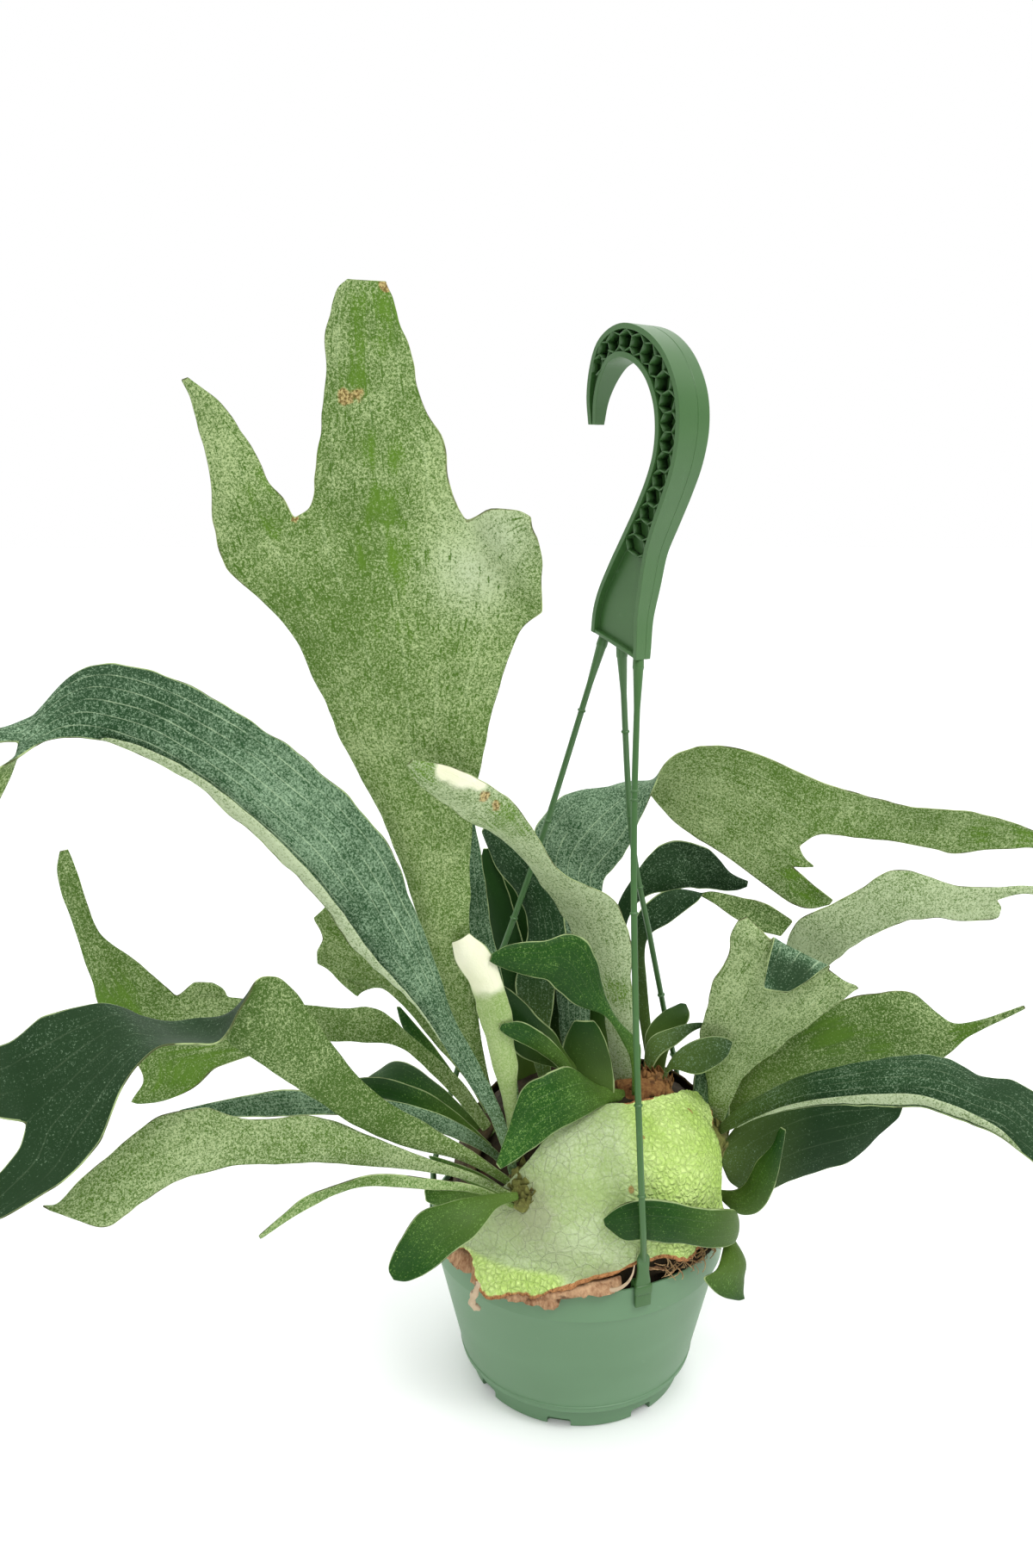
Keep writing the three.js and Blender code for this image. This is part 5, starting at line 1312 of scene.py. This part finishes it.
def old_shield_piece(name, skin):
    """A dry, creased shield that lies on the root ball."""
    spec = SHIELDS[name]
    columns = [Vector(column) for column in spec["columns"]]
    last = len(columns) - 1

    def place(u, v):
        around, low, high = smooth(columns, u * last)
        ragged = noise.noise(Vector((around * 0.11, 1.7, 4))) * 4
        rim = abs(2 * v - 1) ** 6
        up = low + (high - low) * v + ragged * rim
        at = ball_point(around, up)
        crease = noise.noise(at * 60) * 1.6 + abs(noise.noise(at * 150)) * 1.2
        return ball_point(around, up, spec["lift"] + crease)

    bm = bmesh.new()
    sheet(bm, 10 * last, 48, place)
    solid = ("SOLIDIFY", {"thickness": 1.3 * MM, "offset": -0.3})
    return piece(f"{name}_skin", bm, [skin], [name], [solid])


def drawn(seed, low, high, key):
    """A number drawn from low to high, the same each run."""
    return low + (high - low) * (0.5 + 0.5 * noise.cell(Vector((seed * 3.7 + 0.5, key * 5.3 + 0.5, 0.5))))


def root_ball_piece(skin):
    """The rough mound of peat, necked in where it passes the pot's rim."""
    bm = bmesh.new()
    made = bmesh.ops.create_uvsphere(bm, u_segments=160, v_segments=90, radius=1.0)
    centre = Vector(BALL["centre"])
    for vert in made["verts"]:
        ray = vert.co.normalized()
        rough = noise.noise(ray * 6) * 0.9 + noise.noise(ray * 22) * 0.9 + noise.noise(ray * 60) * 0.5
        point = (centre + ray * (ball_radius(ray) - BALL["cover"] - 0.4 + rough)) * MM
        flat = Vector((point.x, point.y, 0))
        if point.z < BALL["neck_top"] * MM and flat.length > BALL["neck_radius"] * MM:
            flat *= BALL["neck_radius"] * MM / flat.length
            point = Vector((flat.x, flat.y, point.z))
        vert.co = make_room(slim(point), 16, 71)
    floor = BALL["foot"] * MM
    cut = bmesh.ops.bisect_plane(
        bm, geom=[*bm.verts, *bm.edges, *bm.faces], plane_co=(0, 0, floor), plane_no=(0, 0, -1),
        clear_outer=True,
    )
    bmesh.ops.holes_fill(bm, edges=[e for e in cut["geom_cut"] if isinstance(e, bmesh.types.BMEdge)])
    return piece("root_ball_peat", bm, [skin], ["root_ball"])


def crown_piece(name, skin):
    """A rhizome tip covered in short papery scales."""
    centre, radii = Vector(CROWNS[name]["centre"]), Vector(CROWNS[name]["radii"])
    bm = bmesh.new()
    made = bmesh.ops.create_uvsphere(bm, u_segments=48, v_segments=28, radius=1.0)
    for vert in made["verts"]:
        ray = vert.co.copy()
        lump = 0.95 + 0.08 * noise.noise(ray * 4)
        vert.co = (centre + Vector((ray.x * radii.x, ray.y * radii.y, ray.z * radii.z)) * lump) * MM
    seed = 10 * list(CROWNS).index(name)
    for k in range(60):
        up = math.asin(drawn(seed + 1, -0.2, 1.0, k))
        around = drawn(seed + 2, -math.pi, math.pi, k)
        ray = Vector((math.cos(up) * math.cos(around), math.cos(up) * math.sin(around), math.sin(up)))
        foot = centre + Vector((ray.x * radii.x, ray.y * radii.y, ray.z * radii.z)) * 0.93
        long, wide = drawn(seed + 3, 2.5, 6.0, k), drawn(seed + 4, 1.2, 2.6, k)
        lift = (Vector((0, 0, 1)) - ray * (ray.z - drawn(seed + 5, 0.15, 0.4, k))).normalized()
        beside = lift.cross(ray)
        beside = beside.normalized() if beside.length > 0.05 else Vector((1, 0, 0))

        def scale_point(u, v):
            half = wide * (1 - v**1.6) * (2 * u - 1)
            return (foot + lift * long * v + beside * half + ray * (0.9 * math.sin(2.4 * v))) * MM

        sheet(bm, 2, 4, scale_point)
    solid = ("SOLIDIFY", {"thickness": 0.25 * MM, "offset": 0.0})
    return piece(f"{name}_scales", bm, [skin], [name], [solid])


# ---------------------------------------------------------------- dry edges, crumbs and fibres


def fringe_piece(skin):
    """Papery edges of older shields that lap over the rim below the front shield."""
    bm = bmesh.new()
    start, top = LAP_ROOT
    for first, last, reach, foot, seed in LAPS:

        def place(u, v):
            around = first + (last - first) * u
            a = math.radians(around)
            tear = noise.noise(Vector((around * 0.16, seed, 0))) * 1.5
            tear += noise.noise(Vector((around * 0.8, seed + 5, 0))) * 1.3
            ends = min(1.0, 5 * u, 5 * (1 - u))
            out = start + (reach - start + tear) * (v**0.8) * (0.35 + 0.65 * ends)
            crinkle = noise.noise(Vector((around * 0.45, v * 2.5, seed))) * 1.5 * v
            height = top + (foot - top) * v**2.5 + 1.6 * math.sin(math.pi * v) + crinkle
            if out > LAP_RIM["inside"]:
                beyond = max(0.0, out - LAP_RIM["outside"])
                height = max(height, LAP_RIM["height"] - beyond * 2.0)
            point = Vector((out * math.cos(a), out * math.sin(a), height)) * MM
            return make_room(point, 12, 72)

        sheet(bm, int(abs(last - first) * 2.4), 12, place)
    roll = curve([(12, -73.5, 92.8), (2, -76.2, 92), (-8, -77.4, 91), (-16, -77, 89.6)], 6)
    tube(bm, roll, [(2.6 - 0.9 * abs(k / 9 - 1)) * MM for k in range(19)], 10)
    solid = ("SOLIDIFY", {"thickness": 0.6 * MM, "offset": 0.0})
    return piece("dry_fringe", bm, [skin], [], [solid])


def tendril_piece(skin):
    """A dry root that hangs over the rim, and the curled sliver beside the clip."""
    bm = bmesh.new()
    root = [
        (-44.1, -66, 90.6), (-45.4, -70.5, 89.1), (-48.1, -72.5, 84.4), (-48.6, -72.5, 79.8),
        (-45.4, -71, 76.5),
    ]
    knots = [(2.3 - 0.9 * (k / 16) ** 0.7 + 0.4 * math.sin(k * 1.9)) * MM for k in range(17)]
    tube(bm, curve(root, 4), knots, 10)
    sliver = [(14, -75.5, 92), (19, -75.8, 93), (23.5, -75.2, 95.8), (26, -74, 99.5), (27, -73, 104)]
    tube(bm, curve(sliver, 4), [(1.15 - 0.9 * (k / 16)) * MM for k in range(17)], 8)
    return piece("dry_tendril", bm, [skin])


def mix_piece(skin):
    """Crumbs of bark and peat between the rim and the root ball."""
    bm = bmesh.new()
    bmesh.ops.create_cone(
        bm, cap_ends=True, segments=72, radius1=MIX["low_radius"] * MM,
        radius2=MIX["high_radius"] * MM, depth=MIX["depth"] * MM,
        matrix=Matrix.Translation((0, 0, MIX["middle"] * MM)),
    )
    for k in range(MIX["crumbs"]):
        size = drawn(31, 0.9, 2.3, k) * MM
        a = drawn(32, -math.pi, math.pi, k)
        radius = drawn(33, 71.6, 73.4, k) * MM
        height = drawn(34, 82.6, 87.4, k) * MM
        place = Matrix.Translation((radius * math.cos(a), radius * math.sin(a), height))
        turn = Matrix.Rotation(drawn(35, 0, 3, k), 4, (1, 0.4, 0.2))
        shape = Matrix.Diagonal((size, size * 0.7, size * 0.55, 1))
        bmesh.ops.create_icosphere(bm, subdivisions=1, radius=1.0, matrix=place @ turn @ shape)
    return piece("potting_crumbs", bm, [skin], ["potting_mix"])


def fibre_piece(skin):
    """Wiry roots and husk hairs on the bare part of the root ball."""
    bm = bmesh.new()
    for k in range(120):
        bare = k % 2
        around = drawn(41, *((-64, -30), (30, 80))[bare], k)
        up = drawn(42, *((4, 8), (4, 34))[bare], k)
        foot = slim(ball_point(around, up, -2.6))
        out = (foot - Vector(BALL["centre"]) * MM).normalized()
        beside = out.cross(Vector((0, 0, 1))).normalized()
        down = beside.cross(out)
        turn = drawn(43, -2.8, 2.8, k)
        way = beside * math.cos(turn) + down * math.sin(turn)
        long = drawn(44, 4, 11, k) * MM
        curl = drawn(45, -0.6, 0.6, k)
        line = [
            foot + way * long * t + beside * curl * long * t * t + out * (2.2 * math.sin(3 * t)) * MM
            for t in (0, 0.25, 0.5, 0.75, 1)
        ]
        tube(bm, line, [drawn(46, 0.18, 0.42, k) * MM * (1 - 0.5 * n / 4) for n in range(5)], 5)
    return piece("root_fibres", bm, [skin])


# ---------------------------------------------------------------- pot


def pot_profile():
    """The half section of the pot: up its outside, over the rim and down its inside."""
    height, rim, wall, foot = POT["height"], POT["rim_radius"], POT["wall"], POT["foot_height"]
    foot_radius, body_foot = POT["foot_radius"], POT["body_foot_radius"]
    band_foot = height - POT["band_height"]
    body_top = rim - POT["band_step"]
    return [
        (0, 0), (foot_radius - 0.8, 0), (foot_radius, 0.8), (foot_radius + 1, foot - 0.4),
        (foot_radius + 1.6, foot), (body_foot - 1.1, foot + 0.2), (body_foot - 0.1, foot + 1.2),
        (body_foot, foot + 3.6), (body_foot + 0.55, foot + 4.0), (body_foot + 0.15, foot + 4.4),
        (body_top - 0.6, band_foot), (rim - 0.25, band_foot + 0.5), (rim, height - 1.0),
        (rim - 0.4, height), (rim - wall + 0.4, height), (rim - wall, height - 0.8),
        (body_top - wall - 0.6, band_foot), (body_foot - wall, foot + 2.4),
        (foot_radius + 1 - wall, foot + 2), (foot_radius - wall, 2), (0, 2),
    ]


def pot_piece(steps, skin):
    """The pot, spun from its section, with drain notches cut through its foot."""
    bm = bmesh.new()
    verts = [bm.verts.new((r * MM, 0, z * MM)) for r, z in pot_profile()]
    edges = [bm.edges.new(two) for two in zip(verts, verts[1:])]
    bmesh.ops.spin(
        bm, geom=[*verts, *edges], cent=(0, 0, 0), axis=(0, 0, 1), angle=2 * math.pi, steps=steps,
        use_merge=True, use_duplicate=False,
    )
    bmesh.ops.remove_doubles(bm, verts=bm.verts, dist=0.01 * MM)
    made = piece("pot_shell", bm, [skin], ["pot"])
    cutter = bmesh.new()
    for k in range(POT["notches"]):
        turn = Matrix.Rotation(math.radians(POT["notch_first"] + 360 / POT["notches"] * k), 4, "Z")
        half, high = POT["notch_width"] / 2 * MM, POT["notch_height"] * MM
        inner, outer = (POT["foot_radius"] - 4) * MM, (POT["foot_radius"] + 6) * MM
        slab(cutter, ((inner, -half, -high), (outer, half, high)), turn, 1.2 * MM)
    mesh = bpy.data.meshes.new("notches")
    cutter.to_mesh(mesh)
    cutter.free()
    notches = bpy.data.objects.new("notches", mesh)
    bpy.context.scene.collection.objects.link(notches)
    modifier = made.modifiers.new("Notches", "BOOLEAN")
    modifier.object = notches
    modifier.operation = "DIFFERENCE"
    graph = bpy.context.evaluated_depsgraph_get()
    cut = bpy.data.meshes.new_from_object(made.evaluated_get(graph))
    made.modifiers.clear()
    made.data = cut
    bpy.data.objects.remove(notches)
    made.data.set_sharp_from_angle(angle=math.radians(32))
    return made


# ---------------------------------------------------------------- hanger


TURN = math.radians(HOOK["turn"])
SIDEWAYS = Vector((math.cos(TURN), math.sin(TURN), 0))
FACEWAYS = Vector((SIDEWAYS.y, -SIDEWAYS.x, 0))
HOOK_FOOT = Vector((HOOK["lean"], 1.0)).normalized()


def hook_plane(sideways, height):
    """A point of the hook's middle plane, in millimetres."""
    return Vector((HOOK["x"], HOOK["y"], height)) + SIDEWAYS * sideways


def hook_station(at):
    """The beam at a place along the hook: middle point, way along, depth and width."""
    last = len(HOOK_LINE) - 1
    values = [Vector(row) for row in HOOK_LINE]
    at = min(max(at, 0.0), last)
    sideways, height, depth, width = smooth(values, at)
    ahead = smooth(values, min(at + 0.5, last)) - smooth(values, max(at - 0.5, 0.0))
    along = Vector((ahead[0], ahead[1])).normalized()
    if at < 1:
        along = HOOK_FOOT.lerp(along, at).normalized()
    return Vector((sideways, height)), along, depth, width


def hook_point(at, deep, face):
    """A point by place along the hook, millimetres outwards in its plane, and millimetres facewards."""
    middle, along, _, _ = hook_station(at)
    inplane = middle + Vector((along.y, -along.x)) * deep
    return (hook_plane(inplane.x, inplane.y) + FACEWAYS * face) * MM


def hook_section(depth, width):
    """The I section of the beam, with a fine seam along its outer flange."""
    d, w, f, e = depth / 2, width / 2, HOOK["flange"], HOOK["web"] / 2
    seam = w * 0.22
    return [
        (-d, -w), (-d + f, -w), (-d + f, -e), (d - f, -e), (d - f, -w), (d, -w), (d, -seam - 0.25),
        (d - 0.3, -seam), (d, -seam + 0.25), (d, w), (d - f, w), (d - f, e), (-d + f, e), (-d + f, w),
        (-d, w),
    ]


def hook_piece(skin):
    """The curved beam of the hook, with the plate that closes its foot."""
    last = len(HOOK_LINE) - 1
    bm = bmesh.new()
    corners = len(hook_section(10, 10))

    def place(u, v):
        _, _, depth, width = hook_station(v * last)
        deep, face = hook_section(depth, width)[round(u * corners) % corners]
        return hook_point(v * last, deep, face)

    close_ends(bm, *sheet(bm, corners, 6 * last, place))
    along = SIDEWAYS * HOOK_FOOT.x + Vector((0, 0, HOOK_FOOT.y))
    beside = SIDEWAYS * HOOK_FOOT.y - Vector((0, 0, HOOK_FOOT.x))
    foot = Matrix((beside, FACEWAYS, along)).transposed().to_4x4()
    foot.translation = hook_plane(HOOK_LINE[0][0], HOOK_LINE[0][1]) * MM
    slab(bm, (Vector((-16.6, -4.3, 0.05)) * MM, Vector((16.6, 4.3, 1.9)) * MM), foot, 0.3 * MM)
    bevel = {
        "width": 0.35 * MM, "segments": 2, "limit_method": "ANGLE", "angle_limit": 0.6,
        "harden_normals": True,
    }
    made = piece("hook_beam", bm, [skin], ["hook"], [("BEVEL", bevel)])
    made.data.set_sharp_from_angle(angle=math.radians(32))
    return made


def rib(bm, first, second, low, high):
    """A thin upright wall of a cell between two points of the hook's plane."""
    start, end = hook_point(*first, 0), hook_point(*second, 0)
    way = (end - start).normalized()
    beside = way.cross(FACEWAYS).normalized()
    matrix = Matrix((way, beside, FACEWAYS)).transposed().to_4x4()
    matrix.translation = start
    thick, over = CELLS["wall"] * MM, CELLS["overlap"] * MM
    reach = (end - start).length + over
    low, high = sorted((low * MM, high * MM))
    slab(bm, ((-over, -thick / 2, low), (reach, thick / 2, high)), matrix)


def honeycomb_piece(skin):
    """Ribs of the six-sided cells in both recesses of the beam."""
    bm = bmesh.new()
    places, at = [], CELLS["first"]
    while at < CELLS["last"]:
        middle = hook_station(at)[0]
        step = (hook_station(at + 0.01)[0] - middle).length
        places.append(at)
        at += 0.01 * CELLS["size"] / step
    for here, after in zip(places, places[1:]):
        tip = (here + after) / 2
        _, _, depth, width = hook_station(here)
        inner = depth / 2 - HOOK["flange"] + 0.1
        waist = inner * 0.45
        for face in (1, -1):
            low, high = face * (HOOK["web"] / 2 - 0.1), face * (width / 2 - 0.6)
            rib(bm, (here, -waist), (here, waist), low, high)
            for side in (1, -1):
                rib(bm, (here, side * waist), (tip, side * inner), low, high)
                rib(bm, (after, side * waist), (tip, side * inner), low, high)
    return piece("hook_ribs", bm, [skin])


def strand_route(points, steps):
    """The centripetal curve through the given points, by distance along it, and its length."""
    ends = [2 * points[0] - points[1], *points, 2 * points[-1] - points[-2]]
    line = []
    for p0, p1, p2, p3 in zip(ends, ends[1:], ends[2:], ends[3:]):
        d0, d1, d2 = [max((b - a).length ** 0.5, 1e-4) for a, b in ((p0, p1), (p1, p2), (p2, p3))]
        t1 = ((p1 - p0) / d0 - (p2 - p0) / (d0 + d1) + (p2 - p1) / d1) * d1
        t2 = ((p2 - p1) / d1 - (p3 - p1) / (d1 + d2) + (p3 - p2) / d2) * d1
        for k in range(steps):
            t = k / steps
            line.append(
                p1 * (2 * t**3 - 3 * t**2 + 1) + t1 * (t**3 - 2 * t**2 + t)
                + p2 * (3 * t**2 - 2 * t**3) + t2 * (t**3 - t**2)
            )
    line.append(points[-1])
    walked = [0.0]
    for a, b in zip(line, line[1:]):
        walked.append(walked[-1] + (b - a).length)

    def at(distance):
        k = max(i for i, w in enumerate(walked[:-1]) if w <= distance + 1e-9)
        share = (distance - walked[k]) / max(walked[k + 1] - walked[k], 1e-9)
        return line[k].lerp(line[k + 1], min(share, 1.0))

    return at, walked[-1]


def clip_shape(bm, around):
    """Spoon-shaped paddle, oval cap over the rim, and the tabs outside and inside it."""
    turn = Matrix.Rotation(math.radians(around), 4, "Z")
    over = POT["height"] + GAP
    outside = POT["rim_radius"] + GAP + CLIP["leg_thickness"]
    inside = POT["rim_radius"] - POT["wall"] - POT["band_step"] - GAP - CLIP["leg_thickness"]
    middle = outside - CLIP["paddle_thickness"] / 2
    spoon = [
        Vector(row) for row in (
            (91.4, 3.9, 1.6), (94, 3.75, 1.55), (97, 3.2, 1.45), (100, 2.95, 1.4), (103, 3.1, 1.4),
            (105.4, 3.15, 1.4), (107, 2.6, 1.35), (108.2, 1.75, 1.3), (110, 1.45, 1.45),
        )
    ]
    last = len(spoon) - 1

    def place(u, v):
        height, wide, deep = smooth(spoon, v * last)
        a = 2 * math.pi * u
        x = math.copysign(abs(math.cos(a)) ** 0.7, math.cos(a)) * deep
        y = math.copysign(abs(math.sin(a)) ** 0.7, math.sin(a)) * wide
        return turn @ (Vector((middle + x, y, height)) * MM)

    close_ends(bm, *sheet(bm, 28, 4 * last, place))
    half = CLIP["width"] / 2
    leg = CLIP["leg_thickness"]
    blocks = [
        ((inside, -half + 0.4, over), (outside, half - 0.4, over + CLIP["cap_thickness"]), 0.6),
        ((outside - leg, -half - 0.2, 87.4), (outside + 0.7, half + 0.2, over + 2.2), 1.1),
        ((outside - leg, -half + 0.2, CLIP["outside_foot"]), (outside, half - 0.2, 88.4), 0.5),
        ((inside, -half + 0.4, CLIP["inside_foot"]), (inside + leg, half - 0.4, over + 1), 0.5),
    ]
    for low, high, edge in blocks:
        slab(bm, (Vector(low) * MM, Vector(high) * MM), turn, edge * MM, 3)


def strand_piece(name, skin):
    """A strand of the hanger, with its stepped top, its nubs and the clip at its lower end."""
    spec = STRANDS[name]
    a = math.radians(spec["around"])
    reach = POT["rim_radius"] + GAP + CLIP["leg_thickness"] - CLIP["paddle_thickness"] / 2
    under = HOOK_LINE[0][1] - HOOK["lean"] * (spec["sideways"] - HOOK_LINE[0][0])
    start = SIDEWAYS * -HOOK_FOOT.x - Vector((0, 0, HOOK_FOOT.y))
    top = hook_plane(spec["sideways"], under) + start * 0.1
    end = Vector((reach * math.cos(a), reach * math.sin(a), CLIP["paddle_top"] - 3))
    at, length = strand_route([top, *map(Vector, spec["path"]), end], 24)
    count = 110
    stops = [0, 4.6, 5, 5.2, 6, 13.6, 14.2, 21, 22]
    stops += [22 + (length - 22) * k / count for k in range(1, count + 1)]
    places = [row[0] for row in STRAND_TOP]
    sizes = [row[1] for row in STRAND_TOP]

    def radius(distance):
        for k in range(1, len(places)):
            if distance <= places[k]:
                share = (distance - places[k - 1]) / (places[k] - places[k - 1])
                return sizes[k - 1] + (sizes[k] - sizes[k - 1]) * share
        return STRAND_RADIUS

    bm = bmesh.new()
    tube(bm, [at(s) * MM for s in stops], [radius(s) * MM for s in stops], 16)
    for nub in spec["nubs"]:
        way = (at(nub + 1) - at(nub - 1)).normalized()
        turn = way.to_track_quat("Z", "Y").to_matrix().to_4x4()
        made = bmesh.ops.create_uvsphere(bm, u_segments=16, v_segments=8, radius=1.0)
        size = Matrix.Diagonal((*(Vector(NUB) * MM), 1))
        shape = Matrix.Translation(at(nub) * MM) @ turn @ size
        bmesh.ops.transform(bm, matrix=shape, verts=made["verts"])
    clip_shape(bm, spec["around"])
    made = piece(f"{name}_cord", bm, [skin], [name])
    made.data.set_sharp_from_angle(angle=math.radians(40))
    return made


# ---------------------------------------------------------------- operators


class FERN_OT_leaves(bpy.types.Operator):
    """Build every frond and small leaf"""

    bl_idname = "fern.leaves"
    bl_label = "Leaves"

    def execute(self, context):
        look = context.scene.fern_leaves
        edge = leaf_edge("leaf_edge", srgb(160, 178, 122))
        outline = srgb(92, 92, 52)
        upper = leaf_skin("leaf_upper", look, look.upper, srgb(38, 78, 40), look.frost, 0.42, 0.75, 0.5)
        under = leaf_skin(
            "leaf_under", look, look.under, srgb(70, 104, 30), look.felt, 0.42, 0.3, 0.06, outline
        )
        young = leaf_skin(
            "leaf_young", look, look.young, srgb(34, 82, 10), srgb(132, 172, 88), 0.14, 0.6, 0.05, rough=0.5
        )
        young_under = leaf_skin("leaf_young_under", look, look.under, srgb(84, 124, 50), look.felt, 0.4)
        pale = leaf_skin(
            "leaf_pale", look, srgb(128, 156, 84), srgb(150, 176, 104), look.felt, 0.5, 0.2, 0.2
        )
        skins = {
            "grey": [upper, under, edge],
            "green": [young, young_under, edge],
            "pale": [pale, pale, edge],
        }
        for name, frond in {**FRONDS, **BACKING}.items():
            frond_piece(name, {**PLAIN_LEAF, **frond}, skins, look.spacing)
        return {"FINISHED"}


class FERN_OT_shields(bpy.types.Operator):
    """Build the front shield and the old dry shields"""

    bl_idname = "fern.shields"
    bl_label = "Shields"

    def execute(self, context):
        look = context.scene.fern_shields
        shield_front_piece(look, shield_skin("shield_skin", look))
        old = dry_skin("old_shield_skin", srgb(34, 28, 18), srgb(74, 62, 38))
        old_shield_piece("shield_back", old)
        old_shield_piece("shield_left", old)
        return {"FINISHED"}


class FERN_OT_roots(bpy.types.Operator):
    """Build the root ball, crowns, fibres, dry edges and potting mix"""

    bl_idname = "fern.roots"
    bl_label = "Roots and husks"

    def execute(self, context):
        peat = dry_skin("peat_skin", srgb(20, 17, 11), srgb(54, 44, 26))
        root_ball_piece(peat)
        husk = dry_skin("husk_skin", srgb(70, 66, 28), srgb(130, 134, 72))
        brown = dry_skin("brown_husk_skin", srgb(84, 46, 24), srgb(150, 112, 66))
        for name in CROWNS:
            crown_piece(name, brown if name == "crown_top" else husk)
        fibre_piece(dry_skin("fibre_skin", srgb(120, 78, 46), srgb(206, 178, 130)))
        fringe_piece(dry_skin("fringe_skin", srgb(108, 62, 34), srgb(204, 168, 130)))
        tendril_piece(dry_skin("tendril_skin", srgb(186, 164, 136), srgb(228, 214, 190), 0.3))
        mix_piece(soil_skin("soil_skin"))
        return {"FINISHED"}


class FERN_OT_pot(bpy.types.Operator):
    """Build the moulded pot"""

    bl_idname = "fern.pot"
    bl_label = "Pot"

    def execute(self, context):
        look = context.scene.fern_pot
        pot_piece(look.steps, plastic_skin("pot_skin", look.pot, srgb(106, 144, 108), 0.44))
        return {"FINISHED"}


class FERN_OT_hanger(bpy.types.Operator):
    """Build the hook, its ribs, and the strands with their clips"""

    bl_idname = "fern.hanger"
    bl_label = "Hanger"

    def execute(self, context):
        look = context.scene.fern_pot
        skin = plastic_skin("hanger_skin", look.hanger, srgb(70, 110, 58), 0.4)
        hook_piece(skin)
        honeycomb_piece(skin)
        for name in STRANDS:
            strand_piece(name, skin)
        return {"FINISHED"}


class FERN_OT_stage(bpy.types.Operator):
    """Lay the pale floor, hang the soft lights and stand the camera"""

    bl_idname = "fern.stage"
    bl_label = "Stage"

    def execute(self, context):
        look = context.scene.fern_stage
        scene = context.scene
        bm = bmesh.new()
        bmesh.ops.create_circle(bm, cap_ends=True, segments=96, radius=14.0)
        mesh = bpy.data.meshes.new("floor")
        bm.to_mesh(mesh)
        bm.free()
        floor = bpy.data.objects.new("floor", mesh)
        scene.collection.objects.link(floor)
        paint = Paint("floor_skin")
        mesh.materials.append(paint.finish(look.floor, 0.9, shine=0.0, glow=0.08))

        world = bpy.data.worlds.new("studio")
        paint = Paint("studio", world)
        way = paint.node("TexCoord", output="Generated")
        level, upward = (paint.node("SeparateXYZ", None, {0: way}, k) for k in (1, 2))
        glow = paint.mix(level.step(-0.5, 0.1), (0.4, 0.4, 0.4, 1.0), (1.0, 1.0, 1.0, 1.0))
        glow = paint.mix(upward.step(0.4, 0.7), glow, (1.45, 1.45, 1.45, 1.0))
        sky = paint.node("Background", None, {"Color": glow, "Strength": 1.0})
        paint.node("OutputWorld", None, {"Surface": sky})
        scene.world = world
        scene.view_settings.view_transform = "Standard"

        lamps = [
            ("key_light", (0.75, -0.75, 1.75), 0.6, 14.0),
            ("fill_light", (-1.3, -0.9, 1.0), 1.4, 2.0),
            ("back_light", (0.2, 1.2, 1.6), 1.4, 3.0),
        ]
        for name, place, size, power in lamps:
            data = bpy.data.lights.new(name, "AREA")
            data.size = size
            data.energy = power
            lamp = bpy.data.objects.new(name, data)
            lamp.location = place
            lamp.rotation_euler = (Vector((0, 0, 0.2)) - Vector(place)).to_track_quat("-Z", "Y").to_euler()
            scene.collection.objects.link(lamp)

        data = bpy.data.cameras.new("camera")
        data.sensor_fit = "AUTO"
        data.sensor_width = 36.0
        data.lens = look.focal
        data.clip_start = 0.01
        camera = bpy.data.objects.new("camera", data)
        camera.location = (0.0, -CAMERA["back"], look.camera_height)
        camera.rotation_euler = (math.radians(90 - CAMERA["down"]), 0.0, math.radians(CAMERA["turn"]))
        scene.collection.objects.link(camera)
        scene.camera = camera
        return {"FINISHED"}


class FERN_PT_panel(bpy.types.Panel):
    """Lists the pieces of the fern"""

    bl_idname = "FERN_PT_panel"
    bl_label = "Staghorn Fern"
    bl_space_type = "VIEW_3D"
    bl_region_type = "UI"
    bl_category = "Fern"

    def draw(self, context):
        for settings in GROUPS:
            box = self.layout.box()
            for key in GROUPS[settings].__annotations__:
                box.prop(getattr(context.scene, settings), key)
        for operator in OPERATORS:
            self.layout.operator(operator.bl_idname)


GROUPS = {
    "fern_leaves": FernLeafSettings,
    "fern_shields": FernShieldSettings,
    "fern_pot": FernPotSettings,
    "fern_stage": FernStageSettings,
}
OPERATORS = [
    FERN_OT_stage, FERN_OT_pot, FERN_OT_roots, FERN_OT_shields, FERN_OT_leaves, FERN_OT_hanger,
]


def register():
    """Adds the settings, the operators and the panel."""
    for made in (*GROUPS.values(), *OPERATORS, FERN_PT_panel):
        bpy.utils.register_class(made)
    for key, settings in GROUPS.items():
        setattr(bpy.types.Scene, key, PointerProperty(type=settings))


def unregister():
    """Takes the settings, the operators and the panel away again."""
    for key in GROUPS:
        delattr(bpy.types.Scene, key)
    for made in reversed((*GROUPS.values(), *OPERATORS, FERN_PT_panel)):
        bpy.utils.unregister_class(made)


def main():
    """Builds every piece and the stage."""
    register()
    bpy.ops.fern.stage()
    bpy.ops.fern.pot()
    bpy.ops.fern.roots()
    bpy.ops.fern.shields()
    bpy.ops.fern.leaves()
    bpy.ops.fern.hanger()


if __name__ == "__main__":
    main()
